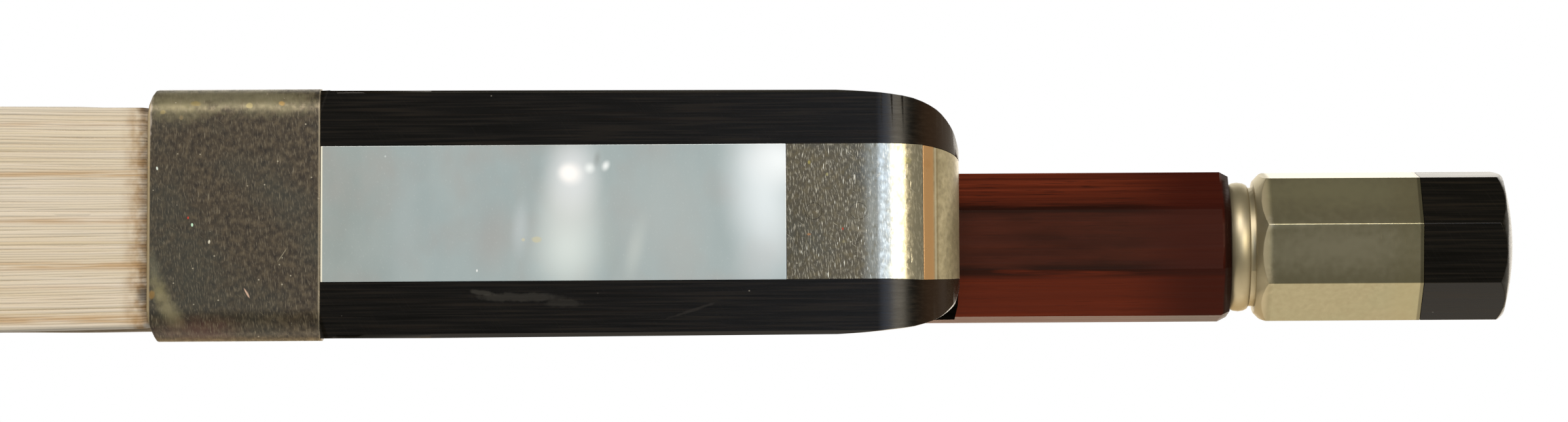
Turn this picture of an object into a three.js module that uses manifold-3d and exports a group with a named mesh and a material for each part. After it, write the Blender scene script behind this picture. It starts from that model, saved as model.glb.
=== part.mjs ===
// A cello bow: a stick with its head and hair, a sliding frog, and the button whose screw pulls the frog.
// Millimetres. +X runs along the stick from the head to the button, +Z runs from the hair to the stick.
// The origin is at the middle of the bow's length, on the plane that the frog and the head's nose stand on.

import * as THREE from 'three';
import { mergeVertices } from 'three/addons/utils/BufferGeometryUtils.js';
import Module from 'manifold-3d';

const wasm = await Module();
wasm.setup();

// Whole bow
const bowLength = 717; // nose of the head to the end of the button
const heelToButt = 18.7; // bare stick between the frog and the button
const axisHeight = 21.5; // stick axis over the standing plane, along the handle
const travelLoose = 4.85; // frog's way towards the head when the hair is let down
const travelTight = 3.25; // frog's way towards the button when the hair is tightened

// Clearances
const slipGap = 0.05; // between pieces that slide or turn
const glueGap = 0.02; // between pieces that are glued, pinned or pressed
const overrun = 1; // how far a cutter passes the face that it opens

// Stick
const buttFlats = 9.8; // octagon across its flats
const buttChamfer = 0.6;
const nippleDiameter = 6; // round tenon of the butt, inside the button's collar
const nippleLength = 2;
const handleLength = 160; // octagonal part
const roundingLength = 34; // octagon turns into a circle over this length
const camberStart = 100; // from the butt, where the straight handle starts to bend
const camberPullHeight = 4.6; // height of the curve's third control point
const headAxisHeight = 22.6; // stick axis over the standing plane, where it enters the head
const stickSides = 24;
const stickSteps = 30;
// share of the stick's length from the butt, share of the width at the butt
const stickTaperShares = [[0, 1], [0.12, 1], [0.25, 0.955], [0.45, 0.905], [0.65, 0.835], [0.85, 0.75],
  [1, 0.695]];

// Head
const headLength = 29; // nose to the end of its plate
const headHeight = 26.1; // standing plane to the ridge
const headNeck = 30; // nose to where the shaft ends inside the head
const headTail = 18; // how far the head's edges run on behind the neck before they have faded
const neckGrowth = 2; // how far those edges stand outside the round shaft at the neck
const plateWidth = 12.3;
const plateThickness = 0.9;
const linerThickness = 0.6;
const plateRise = 1; // the flat of the plate over its drooping nose
const plateSteps = 6;
const headMortiseStart = 11; // from the nose
const headMortiseLength = 9.6;
const headMortiseWidth = 9.2;
const headMortiseTop = 8.2;
const curveSteps = 14;
// share of the head's length, share of its height: control points of the front ridge, nose to crown
const ridgeCurveShares = [[0.03, 0.05], [0.2, 0.34], [0.3, 0.98], [0.86, 1]];
// control points of the throat, two curves from inside the shaft down to the plate
const throatUpperShares = [[1.35, 0.785], [1.02, 0.755], [0.8, 0.62], [0.8, 0.4]];
const throatLowerShares = [[0.8, 0.4], [0.8, 0.24], [0.89, 0.16], [1, 0.095]];
// share of the head's height, share of half the plate's width
const headFrontShares = [[-0.1, 1], [0.1, 0.98], [0.3, 0.8], [0.55, 0.65], [0.73, 0.6], [0.87, 0.57],
  [0.94, 0.5], [1, 0.31]];
// share of the head's length, share of half the plate's width
const platePlanShares = [[0, 0.1], [0.02, 0.21], [0.05, 0.32], [0.14, 0.58], [0.22, 0.73], [0.3, 0.83],
  [0.39, 0.92], [0.48, 0.97], [0.66, 1], [0.85, 0.98], [1, 0.93]];

// Frog
const frogLength = 52.8; // ferrule's front to the heel
const frogWidth = 16.25; // across the foot
const frogHeelWidthShare = 0.98;
const heelRounding = 9; // the foot narrows over this length before the heel's end
const heelCorner = 5.5; // radius under the heel
const wingDrop = 2.8; // top of the frog's wings under the stick axis
const beakStart = 13.5; // from the ferrule's front
const beakThickness = 1.6;
const throatDepth = 4.9; // beak's tip to the bottom of the throat
const throatEnd = beakStart + throatDepth;
// share of the wing height, share of half the frog's width: the hollowed cheek
const cheekShares = [[0, 0.972], [0.017, 1], [0.064, 0.893], [0.15, 0.805], [0.24, 0.742], [0.374, 0.673],
  [0.535, 0.6415], [0.749, 0.654], [1, 0.695]];
const cheekSteps = 24;
// share of the rounding from the heel's end, share of half the foot's width
const heelPlanShares = [[0, 0.56], [0.03, 0.67], [0.064, 0.741], [0.13, 0.825], [0.21, 0.883], [0.34, 0.935],
  [0.5, 0.962], [0.7, 0.986], [0.85, 0.997], [1, 1.006]];
const heelPlanSteps = 18;
// shares of the wing height between which that rounding fades out, as the wings run on at their full width
const heelFadeStartShare = 0.45;
const heelFadeEndShare = 0.82;
const heelFadeSteps = 6;
const heelFadeShare = 0.92; // of the rounding that has gone at the wings

// Ferrule and the tongue inside it
const ferruleLength = 11.25;
const ferruleWidth = 16.5;
const ferruleHeight = 9.7;
const ferruleWall = 0.7;
const ferruleFlat = 0.8; // thickness under the hair
const ferruleCorner = 1.9;
const ferruleInnerCorner = 0.5;
const cornerSteps = 4;
const archSteps = 22;
const tongueSetback = 1.2;
const tongueFloor = 3; // underside of the tongue over the standing plane
const shoulderSteps = 12; // sections between the ferrule's arch and the hollowed cheeks
const footHaste = 14; // the foot gets its full width this many times sooner than the shoulder its shape

// Slide
const slideWidth = 8.9;
const pearlThickness = 0.9;
const backingThickness = 1.1;
const dovetailWidth = 10.2;

// Heel plates
const heelPlateLength = 11.35; // slide to heel, measured along the frog
const heelPlateWidth = 8.84;
const heelPlateThickness = 0.8;
const heelSeamAngle = 33.5; // degrees round the corner, where the two plates meet
const backPlateTop = 15.6;
const backPlateTopWidth = 7;
const backPlateWaistWidth = 7.8;
const backPlateWaistHeight = 5;
const pinDiameter = 1.1;
const pinLength = 3.2;
// shares of the bottom plate's straight length and of the back plate's height
const heelPinShares = [0.3, 0.8];
const backPinShare = 0.72;

// Underslide and its screws
const underslideThickness = 0.5;
const underslideScrewDiameter = 1.4;
const underslideScrewHead = 2.4;
const underslideScrewLength = 4.6;
const screwHeadHeight = 0.6;
// shares of the underslide's length
const underslideScrewShares = [0.2, 0.84];

// Eyes in the cheeks
const eyeDiameter = 6.4;
const eyeRingOuter = 8.6;
const eyeRingInner = 7.6;
const eyeDepth = 1;
const eyeWall = 0.7; // ebony between the mortise and the eye's ring
const eyeHeight = 9.6;
const eyeSides = 32;

// Eyelet and screw
const eyeletPlace = 33; // from the ferrule's front
const eyeletLength = 7;
const eyeletWidth = 3.8;
const eyeletRise = 3.2; // block over the screw's axis
const eyeletDrop = 4; // block under the screw's axis
const eyeletStemDiameter = 3.2;
const eyeletStemLength = 7.4;
const mortiseSideGap = 0.3;
const mortiseEndGap = 0.6;
const screwDiameter = 3.4;
const screwReach = 62; // from the butt into the stick
const screwPlainLength = 27;
const threadDiameter = 3;
const tipDiameter = 2.3;
const tipLength = 9;
const screwInButton = 15;
const screwPointLength = 1;
const roundSides = 24;

// Button
const buttonFlats = 9.75;
const buttonTurn = 12.4; // degrees between the button's flats and the stick's
const sleeveLength = 13;
const buttonTipLength = 6.4;
const beadDiameter = 8.8;
const beadLength = 1.4;
const grooveDiameter = 8.1;
const grooveLength = 0.35;
const shoulderConeDiameter = 9;
const shoulderConeLength = 0.75;
const sleeveBore = 7.6;
const sleeveWebStart = 2.2;
const sleeveWebEnd = 3.2;
const domeRise = 0.7;
const domeEdge = 0.5;
const beadSteps = 6;
const buttonSides = 40;

// Hair
const hairWidthHead = 9;
const hairWidthFerrule = 14.3;
const hairWidthFrog = 8.6;
const hairThickness = 0.55;
const hairHeadHeight = 0.66; // middle of the ribbon at the plate, over the standing plane
const hairSteps = 12;
const knotDiameter = 3;
const knotGap = 0.15;
const knotEndShare = 0.8; // of the knot's radius and half length, where it rounds off
const frogMortiseStart = 17.6; // from the ferrule's front
const frogMortiseLength = 10;
const frogMortiseWidth = 9;
const frogMortiseTop = 9.4;
const wedgeLength = 8;
const wedgeSetback = 0.5;
const wedgeWidth = 14;
const plugTaperShare = 0.94;

// Handle covering
const leatherGap = 5.4; // beak to leather, the frog's way plus a little
const leatherLength = 28;
const leatherThickness = 0.9;
const leatherEdgeShare = 0.35; // thickness that is left at its skived ends
const leatherSkive = 2.5;
const windingLength = 66;
const windingWire = 0.36;

const buttonLength = sleeveLength + buttonTipLength;
const stickLength = bowLength - buttonLength;
const noseX = -bowLength / 2;
const buttX = bowLength / 2 - buttonLength;
const frogX = buttX - heelToButt - frogLength;
const wingHeight = axisHeight - wingDrop;
const slideEnd = frogLength - heelPlateLength;
const slideThickness = pearlThickness + backingThickness;
const leatherNear = heelToButt + frogLength - beakStart + leatherGap;
const leatherFar = leatherNear + leatherLength;
const windingNear = leatherFar + glueGap;
const windingFar = leatherFar + windingLength;

// Distances from the butt at which the stick has a section: even steps, and the ends of what covers it
const stickEnd = stickLength - headNeck;
const stickStep = (stickEnd - buttChamfer) / stickSteps;
const stickPlaces = [
  ...Array.from({ length: stickSteps + 1 }, (_, i) => buttChamfer + stickStep * i),
  leatherNear,
  leatherNear + leatherSkive,
  leatherFar - leatherSkive,
  leatherFar,
  windingNear,
  windingFar,
].sort((a, b) => a - b);

const backPlateAngle = THREE.MathUtils.degToRad(heelSeamAngle) + glueGap / heelCorner;

const axisX = new THREE.Vector3(1, 0, 0);
const axisY = new THREE.Vector3(0, 1, 0);
const axisZ = new THREE.Vector3(0, 0, 1);
const radians = THREE.MathUtils.degToRad;

// Turns a closed geometry into a solid that can be joined and cut
function solid(geometry) {
  const plain = new THREE.BufferGeometry();
  plain.setAttribute('position', geometry.getAttribute('position'));
  plain.setIndex(geometry.getIndex());
  const merged = mergeVertices(plain);
  const corners = merged.getIndex().array;
  const triangles = [];
  for (let i = 0; i < corners.length; i += 3) {
    const [a, b, c] = [corners[i], corners[i + 1], corners[i + 2]];
    if (a !== b && b !== c && c !== a) triangles.push([a, b, c]);
  }
  const position = merged.getAttribute('position');
  const [p, q, r] = [new THREE.Vector3(), new THREE.Vector3(), new THREE.Vector3()];
  let volume = 0;
  for (const [a, b, c] of triangles) {
    p.fromBufferAttribute(position, a);
    q.fromBufferAttribute(position, b);
    r.fromBufferAttribute(position, c);
    volume += p.dot(q.cross(r));
  }
  const outward = volume < 0 ? triangles.map(([a, b, c]) => [a, c, b]) : triangles;
  return new wasm.Manifold(new wasm.Mesh({
    numProp: 3,
    vertProperties: Float32Array.from(position.array),
    triVerts: Uint32Array.from(outward.flat()),
  }));
}

function geometryOf(body) {
  const { vertProperties, triVerts } = body.getMesh();
  const geometry = new THREE.BufferGeometry();
  geometry.setAttribute('position', new THREE.BufferAttribute(vertProperties, 3));
  geometry.setIndex(new THREE.BufferAttribute(triVerts, 1));
  return geometry;
}

function extruded(outline, depth) {
  const shape = outline instanceof THREE.Shape ? outline
    : new THREE.Shape(outline.map(([a, b]) => new THREE.Vector2(a, b)));
  return new THREE.ExtrudeGeometry(shape, { depth, bevelEnabled: false, curveSegments: curveSteps });
}

// Outline in Y and Z, drawn out along X
function alongX(outline, from, to) {
  const geometry = extruded(outline, to - from);
  geometry.applyMatrix4(new THREE.Matrix4().makeBasis(axisY, axisZ, axisX));
  return solid(geometry.translate(from, 0, 0));
}

// Outline in X and Z, drawn out along Y on both sides of the middle
function acrossY(outline, width, middle = 0) {
  const geometry = extruded(outline, width);
  geometry.applyMatrix4(new THREE.Matrix4().makeBasis(axisX, axisZ, axisY.clone().negate()));
  return solid(geometry.translate(0, middle + width / 2, 0));
}

// Outline in X and Y, drawn out along Z
function upZ(outline, from, to) {
  return solid(extruded(outline, to - from).translate(0, 0, from));
}

// Profile of radius and place along X, turned round an axis parallel to X
function turned(profile, height = 0, sides = roundSides) {
  const geometry = new THREE.LatheGeometry(profile.map(([r, x]) => new THREE.Vector2(r, x)), sides);
  geometry.applyMatrix4(new THREE.Matrix4().makeBasis(axisZ, axisX, axisY));
  return solid(geometry.translate(0, 0, height));
}

function rod(diameter, from, to, height, sides = roundSides) {
  return turned([[0, from], [diameter / 2, from], [diameter / 2, to], [0, to]], height, sides);
}

// Upright rod
function post(diameter, x, from, to, sides = roundSides) {
  const geometry = new THREE.CylinderGeometry(diameter / 2, diameter / 2, to - from, sides);
  geometry.rotateX(Math.PI / 2);
  return solid(geometry.translate(x, 0, (from + to) / 2));
}

function box(x0, x1, width, z0, z1) {
  const geometry = new THREE.BoxGeometry(x1 - x0, width, z1 - z0);
  return solid(geometry.translate((x0 + x1) / 2, 0, (z0 + z1) / 2));
}

// Skin over a row of stations; each has a flat outline and a function that places its points
function loft(stations) {
  const count = stations[0].outline.length;
  const points = stations.flatMap(({ outline, place }) => outline.flatMap(([a, b]) => place(a, b)));
  const point = (i) => new THREE.Vector3().fromArray(points, 3 * i);
  const index = [];
  for (let s = 0; s < stations.length - 1; s += 1) {
    for (let i = 0; i < count; i += 1) {
      const [a, b] = [s * count + i, s * count + ((i + 1) % count)];
      const [c, d] = [a + count, b + count];
      const straight = point(a).distanceTo(point(d)) < point(b).distanceTo(point(c));
      index.push(...(straight ? [a, b, d, a, d, c] : [a, b, c, b, d, c]));
    }
  }
  const cap = (station) => THREE.ShapeUtils.triangulateShape(
    station.outline.map(([a, b]) => new THREE.Vector2(a, b)),
    [],
  );
  const last = (stations.length - 1) * count;
  for (const [a, b, c] of cap(stations[0])) index.push(a, c, b);
  for (const [a, b, c] of cap(stations.at(-1))) index.push(last + a, last + b, last + c);
  const geometry = new THREE.BufferGeometry();
  geometry.setAttribute('position', new THREE.Float32BufferAttribute(points, 3));
  geometry.setIndex(index);
  return solid(geometry);
}

// Value at a place in a table of place and value, straight between its rows
function between(table, place) {
  const row = table.findIndex(([at]) => at >= place);
  if (row < 0) return table.at(-1)[1];
  if (row === 0) return table[0][1];
  const [[a, from], [b, to]] = [table[row - 1], table[row]];
  return THREE.MathUtils.mapLinear(place, a, b, from, to);
}

function mirroredOutline(half) {
  return [...half, ...half.slice().reverse().map(([y, z]) => [-y, z])];
}

function curvePoints(shares, length, height) {
  const controls = shares.map(([a, b]) => new THREE.Vector2(noseX + a * length, b * height));
  return new THREE.CubicBezierCurve(...controls).getPoints(curveSteps).map(({ x, y }) => [x, y]);
}

// Stick: octagonal handle, round cambered shaft and head, all of one piece of wood

function stickFlats(distance) {
  return buttFlats * between(stickTaperShares, distance / stickLength);
}

function stickHeight(distance) {
  const t = THREE.MathUtils.clamp((distance - camberStart) / (stickLength - headNeck - camberStart), 0, 1);
  const curve = new THREE.CubicBezierCurve3(
    new THREE.Vector3(axisHeight, 0, 0),
    new THREE.Vector3(axisHeight, 0, 0),
    new THREE.Vector3(camberPullHeight, 0, 0),
    new THREE.Vector3(headAxisHeight, 0, 0),
  );
  return curve.getPoint(t).x;
}

// Outline of the stick, grown by a gap or a covering
function stickOutline(distance, growth = 0) {
  const apothem = stickFlats(distance) / 2 + growth;
  const roundness = THREE.MathUtils.smoothstep(distance, handleLength, handleLength + roundingLength);
  return Array.from({ length: stickSides }, (_, i) => {
    const turn = i / stickSides;
    const fromFlat = ((turn * 8) % 1) * (Math.PI / 4) - Math.PI / 8;
    const reach = THREE.MathUtils.lerp(apothem / Math.cos(fromFlat), apothem, roundness);
    const angle = Math.PI / 8 + turn * 2 * Math.PI;
    return [reach * Math.cos(angle), reach * Math.sin(angle)];
  });
}

function stickStation(distance, growth) {
  const height = stickHeight(distance);
  const x = buttX - distance;
  return { outline: stickOutline(distance, growth), place: (y, z) => [x, y, height + z] };
}

// Height of the plate's underside at a distance from the nose
function plateLine(distance) {
  const run = headMortiseStart - overrun;
  const rest = Math.max(0, 1 - distance / run);
  return plateRise * (1 - rest * rest);
}

// One layer of the head: its curved underside is lifted by one amount and its upper side by another
function headLayer(low, high) {
  const step = (headMortiseStart - overrun) / (plateSteps - 1);
  const places = Array.from({ length: plateSteps }, (_, i) => step * i);
  places.push(headLength);
  const under = places.map((h) => [noseX + h, plateLine(h) + low]);
  const over = places.map((h) => [noseX + h, plateLine(h) + high]).reverse();
  return acrossY([...under, ...over], plateWidth + 2 * overrun);
}

function headPlan(z0, z1, tail) {
  const half = platePlanShares.map(([a, b]) => [noseX + a * headLength, (b * plateWidth) / 2]);
  if (tail) half.push([noseX + headNeck + headTail + overrun, half.at(-1)[1]]);
  const far = half.slice().reverse().map(([x, y]) => [x, -y]);
  return upZ([...half, ...far], z0, z1);
}

function headMortise() {
  const start = noseX + headMortiseStart;
  return box(start, start + headMortiseLength, headMortiseWidth, -overrun, headMortiseTop);
}

function makeHead() {
  const sole = plateThickness + linerThickness + 2 * glueGap;
  const neckX = noseX + headNeck;
  const tailX = neckX + headTail;
  const side = [
    ...curvePoints(ridgeCurveShares, headLength, headHeight),
    [neckX, headHeight],
    [tailX, stickHeight(stickEnd - headTail) + stickFlats(stickEnd) / 4],
    [tailX, stickHeight(stickEnd - headTail) - stickFlats(stickEnd) / 4],
    ...curvePoints(throatUpperShares, headLength, headHeight),
    ...curvePoints(throatLowerShares, headLength, headHeight).slice(1),
  ];
  const front = mirroredOutline(headFrontShares.map(([a, b]) => [(b * plateWidth) / 2, a * headHeight]));
  const fade = loft([stickStation(stickEnd, neckGrowth), stickStation(stickEnd - headTail, 0)]);
  const ahead = box(noseX - overrun, neckX, plateWidth + 2 * overrun, -overrun, headHeight + overrun);
  const block = acrossY(side, plateWidth + 2 * overrun)
    .intersect(alongX(front, noseX - overrun, tailX + overrun))
    .intersect(headPlan(-overrun, headHeight + overrun, true))
    .intersect(fade.add(ahead));
  return block.subtract(headLayer(-plateRise - overrun, sole));
}

function makeStick() {
  const nipple = rod(nippleDiameter, buttX - overrun, buttX + nippleLength, axisHeight);
  const stations = [stickStation(0, -buttChamfer / 2), ...stickPlaces.map((at) => stickStation(at))];
  const [boreStart, boreEnd] = [buttX - screwReach - slipGap, buttX + nippleLength + overrun];
  const bore = rod(screwDiameter + 4 * slipGap, boreStart, boreEnd, axisHeight);
  const eyeletX = frogX + eyeletPlace;
  const mortise = box(
    eyeletX - eyeletLength / 2 - travelLoose - mortiseEndGap,
    eyeletX + eyeletLength / 2 + travelTight + mortiseEndGap,
    eyeletWidth + 2 * mortiseSideGap,
    axisHeight - buttFlats / 2 - overrun,
    axisHeight + eyeletRise + mortiseSideGap,
  );
  const blank = loft(stations).add(nipple).add(makeHead());
  return blank.subtract(bore).subtract(mortise).subtract(headMortise());
}

function makeHeadPlate() {
  const layer = headLayer(0, plateThickness);
  return layer.intersect(headPlan(-overrun, headHeight, false)).subtract(headMortise());
}

function makeHeadLiner() {
  const start = plateThickness + glueGap;
  const layer = headLayer(start, start + linerThickness);
  return layer.intersect(headPlan(-overrun, headHeight, false)).subtract(headMortise());
}

// Wooden plug that holds the knot at the far end of its mortise, a little narrower at its inner end
function makePlug(start, end, width, low, high) {
  const half = (end - start) / 2;
  const middle = (start + end) / 2;
  const station = (share, height) => ({
    outline: [[-half * share, (-width / 2) * share], [half * share, (-width / 2) * share],
      [half * share, (width / 2) * share], [-half * share, (width / 2) * share]],
    place: (x, y) => [middle + x, y, height],
  });
  return loft([station(1, low), station(plugTaperShare, high)]);
}

// Knot of bound hair, lying across the mortise
function makeKnot(x, z, width) {
  const end = width / 2;
  const waist = knotDiameter / 2;
  const half = [[0, end], [waist * knotEndShare, end], [waist, end * knotEndShare]];
  const profile = [...half.map(([r, y]) => [r, -y]), ...half.reverse()];
  const geometry = new THREE.LatheGeometry(profile.map(([r, y]) => new THREE.Vector2(r, y)), roundSides / 2);
  return solid(geometry.translate(x, 0, z));
}

// Frog: ebony block with hollowed cheeks, tongue, throat and a cradle for the stick

// Flat-bottomed arch, as wide and high as given, standing at a height
function archOutline(width, height, corner, base) {
  const half = width / 2;
  const outline = [];
  for (let i = 0; i <= cornerSteps; i += 1) {
    const angle = (i / cornerSteps - 1) * (Math.PI / 2);
    outline.push([half - corner + corner * Math.cos(angle), base + corner + corner * Math.sin(angle)]);
  }
  for (let i = 1; i < archSteps; i += 1) {
    const angle = (i / archSteps) * Math.PI;
    outline.push([half * Math.cos(angle), base + corner + (height - corner) * Math.sin(angle)]);
  }
  for (let i = 0; i <= cornerSteps; i += 1) {
    const angle = Math.PI + (i / cornerSteps) * (Math.PI / 2);
    outline.push([-half + corner + corner * Math.cos(angle), base + corner + corner * Math.sin(angle)]);
  }
  return outline;
}

// Lower three facets of the stick's octagon, moved out by a gap and cut off at a height
function cradleOutline(gap, top) {
  const apothem = buttFlats / 2 + gap;
  const corner = apothem * Math.tan(Math.PI / 8);
  const half = [[corner, axisHeight - apothem], [apothem, axisHeight - corner]];
  const rise = Math.min(top, axisHeight - corner);
  half[1] = [corner + (rise - (axisHeight - apothem)), rise];
  if (top > rise) half.push([half[1][0], top]);
  return mirroredOutline(half);
}

// Table of pairs as a smooth curve through its rows, in rows again
function smoothed(table, steps) {
  const curve = new THREE.SplineCurve(table.map(([a, b]) => new THREE.Vector2(a, b)));
  return curve.getPoints(steps).map(({ x, y }) => [x, y]);
}

const cheekProfile = [cheekShares[0], ...smoothed(cheekShares.slice(1), cheekSteps)];
const heelPlan = smoothed(heelPlanShares, heelPlanSteps);
const taperAt = (place) => THREE.MathUtils.mapLinear(place, ferruleLength, frogLength, 1, frogHeelWidthShare);

// Hollowed cheeks at a place along the frog, which tapers
function cheekOutline(place) {
  const half = (taperAt(place) * frogWidth) / 2;
  return mirroredOutline(cheekProfile.map(([a, b]) => [b * half, a * wingHeight]));
}

// Rounded heel seen from below, at a share of the wing height, over which the rounding fades out
function heelOutline(up) {
  const fade = heelFadeShare * THREE.MathUtils.smoothstep(up, heelFadeStartShare, heelFadeEndShare);
  const half = heelPlan.map(([a, b]) => {
    const place = frogLength - a * heelRounding;
    const share = THREE.MathUtils.lerp(b, heelPlan.at(-1)[1], fade);
    return [(share * taperAt(place) * frogWidth) / 2, place];
  });
  const [endWidth] = half[0];
  return mirroredOutline([
    [frogWidth / 2 + overrun, ferruleLength - overrun],
    ...half.reverse(),
    [endWidth, frogLength + overrun],
  ]);
}

function heelHull() {
  const fading = Array.from({ length: heelFadeSteps + 1 }, (_, i) => {
    return THREE.MathUtils.lerp(heelFadeStartShare, heelFadeEndShare, i / heelFadeSteps);
  });
  return loft([-overrun, ...fading.map((share) => share * wingHeight), wingHeight + overrun].map((z) => {
    return { outline: heelOutline(z / wingHeight), place: (y, x) => [x, y, z] };
  }));
}

// The ferrule's arch reshaped towards the hollowed cheeks, from share 0 to 1, its top lifted to a height
function shoulderOutline(share, top) {
  const cheek = cheekProfile.map(([a, b]) => [a * wingHeight, (b * taperAt(throatEnd) * frogWidth) / 2]);
  const chamfer = cheekProfile[1][0] * wingHeight;
  return archOutline(ferruleWidth, ferruleHeight, ferruleCorner, 0).map(([y, z]) => {
    const across = y / (ferruleWidth / 2);
    const up = Math.max(0, (z - ferruleCorner) / (ferruleHeight - ferruleCorner));
    const squared = Math.min(1 / Math.abs(across), 1 / up);
    const foot = z > 0 ? Math.max(z, chamfer) : 0;
    const height = up > 0 ? ferruleCorner + (top - ferruleCorner) * up * squared : foot;
    const width = between(cheek, height) * (up > 0 ? across * squared : Math.sign(y));
    const square = Math.max(Math.abs(y), between(cheek, Math.min(height, chamfer)));
    const filled = up > 0 ? y : Math.sign(y) * square;
    const early = THREE.MathUtils.lerp(y, filled, THREE.MathUtils.smoothstep(share * footHaste, 0, 1));
    return [THREE.MathUtils.lerp(early, width, share), THREE.MathUtils.lerp(z, height, share)];
  });
}

// Frog without any of its cuts: cheeks trimmed to the side view, and the shoulder that carries the ferrule
function frogHull() {
  const throatTop = axisHeight - buttFlats / 2 - underslideThickness - beakThickness;
  const throatRadius = (throatTop - ferruleHeight) / 2;
  const throatMiddle = ferruleHeight + throatRadius;
  const throatX = throatEnd - throatRadius;
  const arc = (from, to) => Array.from({ length: curveSteps + 1 }, (_, i) => {
    const angle = THREE.MathUtils.lerp(from, to, i / curveSteps);
    return [throatX + throatRadius * Math.cos(angle), throatMiddle + throatRadius * Math.sin(angle)];
  });
  const side = [
    [throatEnd, 0],
    ...heelArc(0, 0, radians(heelSeamAngle)).outer,
    ...heelArc(0, backPlateAngle, Math.PI / 2).outer,
    [frogLength, wingHeight],
    [beakStart, wingHeight],
    [beakStart, throatTop + beakThickness / 4],
    ...arc(Math.PI / 2, 0),
  ];
  const cheeks = loft([ferruleLength, frogLength].map((x) => {
    return { outline: cheekOutline(x), place: (y, z) => [x, y, z] };
  }));
  const shoulder = loft(Array.from({ length: shoulderSteps + 1 }, (_, i) => {
    const share = THREE.MathUtils.smoothstep(i, 0, shoulderSteps);
    const x = THREE.MathUtils.lerp(ferruleLength, throatEnd + glueGap, i / shoulderSteps);
    return { outline: shoulderOutline(share, throatMiddle), place: (y, z) => [x, y, z] };
  }));
  const throat = acrossY(
    [[0, ferruleHeight], ...arc(-Math.PI / 2, 0), [throatEnd, throatTop], [0, throatTop]],
    ferruleWidth + 2 * overrun,
  );
  const sideHull = acrossY(side, ferruleWidth + 2 * overrun);
  return cheeks.intersect(sideHull).intersect(heelHull()).add(shoulder.subtract(throat));
}

function ferruleBore(gap) {
  return archOutline(
    ferruleWidth - 2 * ferruleWall - 2 * gap,
    ferruleHeight - ferruleWall - ferruleFlat - 2 * gap,
    ferruleInnerCorner,
    ferruleFlat + gap,
  );
}

function slideOutline(gap) {
  return mirroredOutline([
    [slideWidth / 2 + gap, -overrun],
    [slideWidth / 2 + gap, pearlThickness],
    [dovetailWidth / 2 + gap, slideThickness + gap],
  ]);
}

// Side view of a strip that follows the heel, from one angle to another: its faces at two radii
function heelArc(thickness, fromAngle, toAngle, proud = 0) {
  const centre = [frogLength - heelCorner, heelCorner];
  const arc = (radius) => Array.from({ length: curveSteps + 1 }, (_, i) => {
    const angle = fromAngle + ((toAngle - fromAngle) * i) / curveSteps;
    return [centre[0] + radius * Math.sin(angle), centre[1] - radius * Math.cos(angle)];
  });
  return { outer: arc(heelCorner + proud), inner: arc(heelCorner - thickness).reverse() };
}

function backPlateFront(gap) {
  return mirroredOutline([
    [heelPlateWidth / 2 + gap, -overrun],
    [heelPlateWidth / 2 + gap, heelCorner * (1 - Math.cos(radians(heelSeamAngle)))],
    [backPlateWaistWidth / 2 + gap, backPlateWaistHeight],
    [backPlateTopWidth / 2 + gap, backPlateTop + gap],
  ]);
}

function makeHeelPlate(gap = 0, proud = 0) {
  const { outer, inner } = heelArc(heelPlateThickness + gap, 0, radians(heelSeamAngle), proud);
  const start = slideEnd + glueGap - gap;
  const side = [[start, heelPlateThickness + gap], [start, -proud], ...outer, ...inner];
  return acrossY(side, heelPlateWidth + 2 * gap);
}

function makeBackPlate(gap = 0, proud = 0) {
  const { outer, inner } = heelArc(heelPlateThickness + gap, backPlateAngle, Math.PI / 2, proud);
  const top = backPlateTop + gap;
  const innerX = frogLength - heelPlateThickness - gap;
  const side = [...outer, [frogLength + proud, top], [innerX, top], ...inner];
  const front = alongX(backPlateFront(gap), frogLength - heelCorner - overrun, frogLength + 2 * overrun);
  return acrossY(side, heelPlateWidth + 2 * overrun).intersect(front);
}

// Places of the two pins in the bottom plate
const heelPinPlaces = heelPinShares.map((share) => slideEnd + share * (frogLength - heelCorner - slideEnd));

function makeHeelPin(place, gap = 0) {
  return post(pinDiameter + 2 * gap, place, -gap, pinLength + gap, roundSides / 2);
}

function makeBackPin(gap = 0) {
  const [start, end] = [frogLength - pinLength - gap, frogLength + gap];
  return rod(pinDiameter + 2 * gap, start, end, backPinShare * backPlateTop, roundSides / 2);
}

const underslideLength = frogLength - beakStart;
const underslideScrewPlaces = underslideScrewShares.map((share) => beakStart + share * underslideLength);

// Countersunk screw that holds the underslide, its head flush with the trough
function makeUnderslideScrew(place, gap = 0) {
  const face = axisHeight - buttFlats / 2 - slipGap;
  const [head, shank] = [underslideScrewHead / 2 + gap, underslideScrewDiameter / 2 + gap];
  const foot = face - underslideScrewLength - gap;
  const neck = face - screwHeadHeight - gap;
  const profile = [[0, foot], [shank, foot], [shank, neck], [head, face + gap], [0, face + gap]];
  const geometry = new THREE.LatheGeometry(profile.map(([r, z]) => new THREE.Vector2(r, z)), roundSides / 2);
  geometry.rotateX(Math.PI / 2);
  return solid(geometry.translate(place, 0, 0));
}

function makeUnderslide() {
  const trough = alongX(cradleOutline(slipGap + underslideThickness, wingHeight), beakStart, frogLength);
  const inner = cradleOutline(slipGap, wingHeight + overrun);
  const stick = alongX(inner, beakStart - overrun, frogLength + overrun);
  const stem = post(eyeletStemDiameter + 4 * slipGap, eyeletPlace, axisHeight - buttFlats, axisHeight);
  const screws = underslideScrewPlaces.map((place) => makeUnderslideScrew(place, glueGap));
  return screws.reduce((body, screw) => body.subtract(screw), trough.subtract(stick).subtract(stem));
}

const eyePlace = frogMortiseStart + frogMortiseLength + eyeWall + eyeRingOuter / 2;

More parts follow.
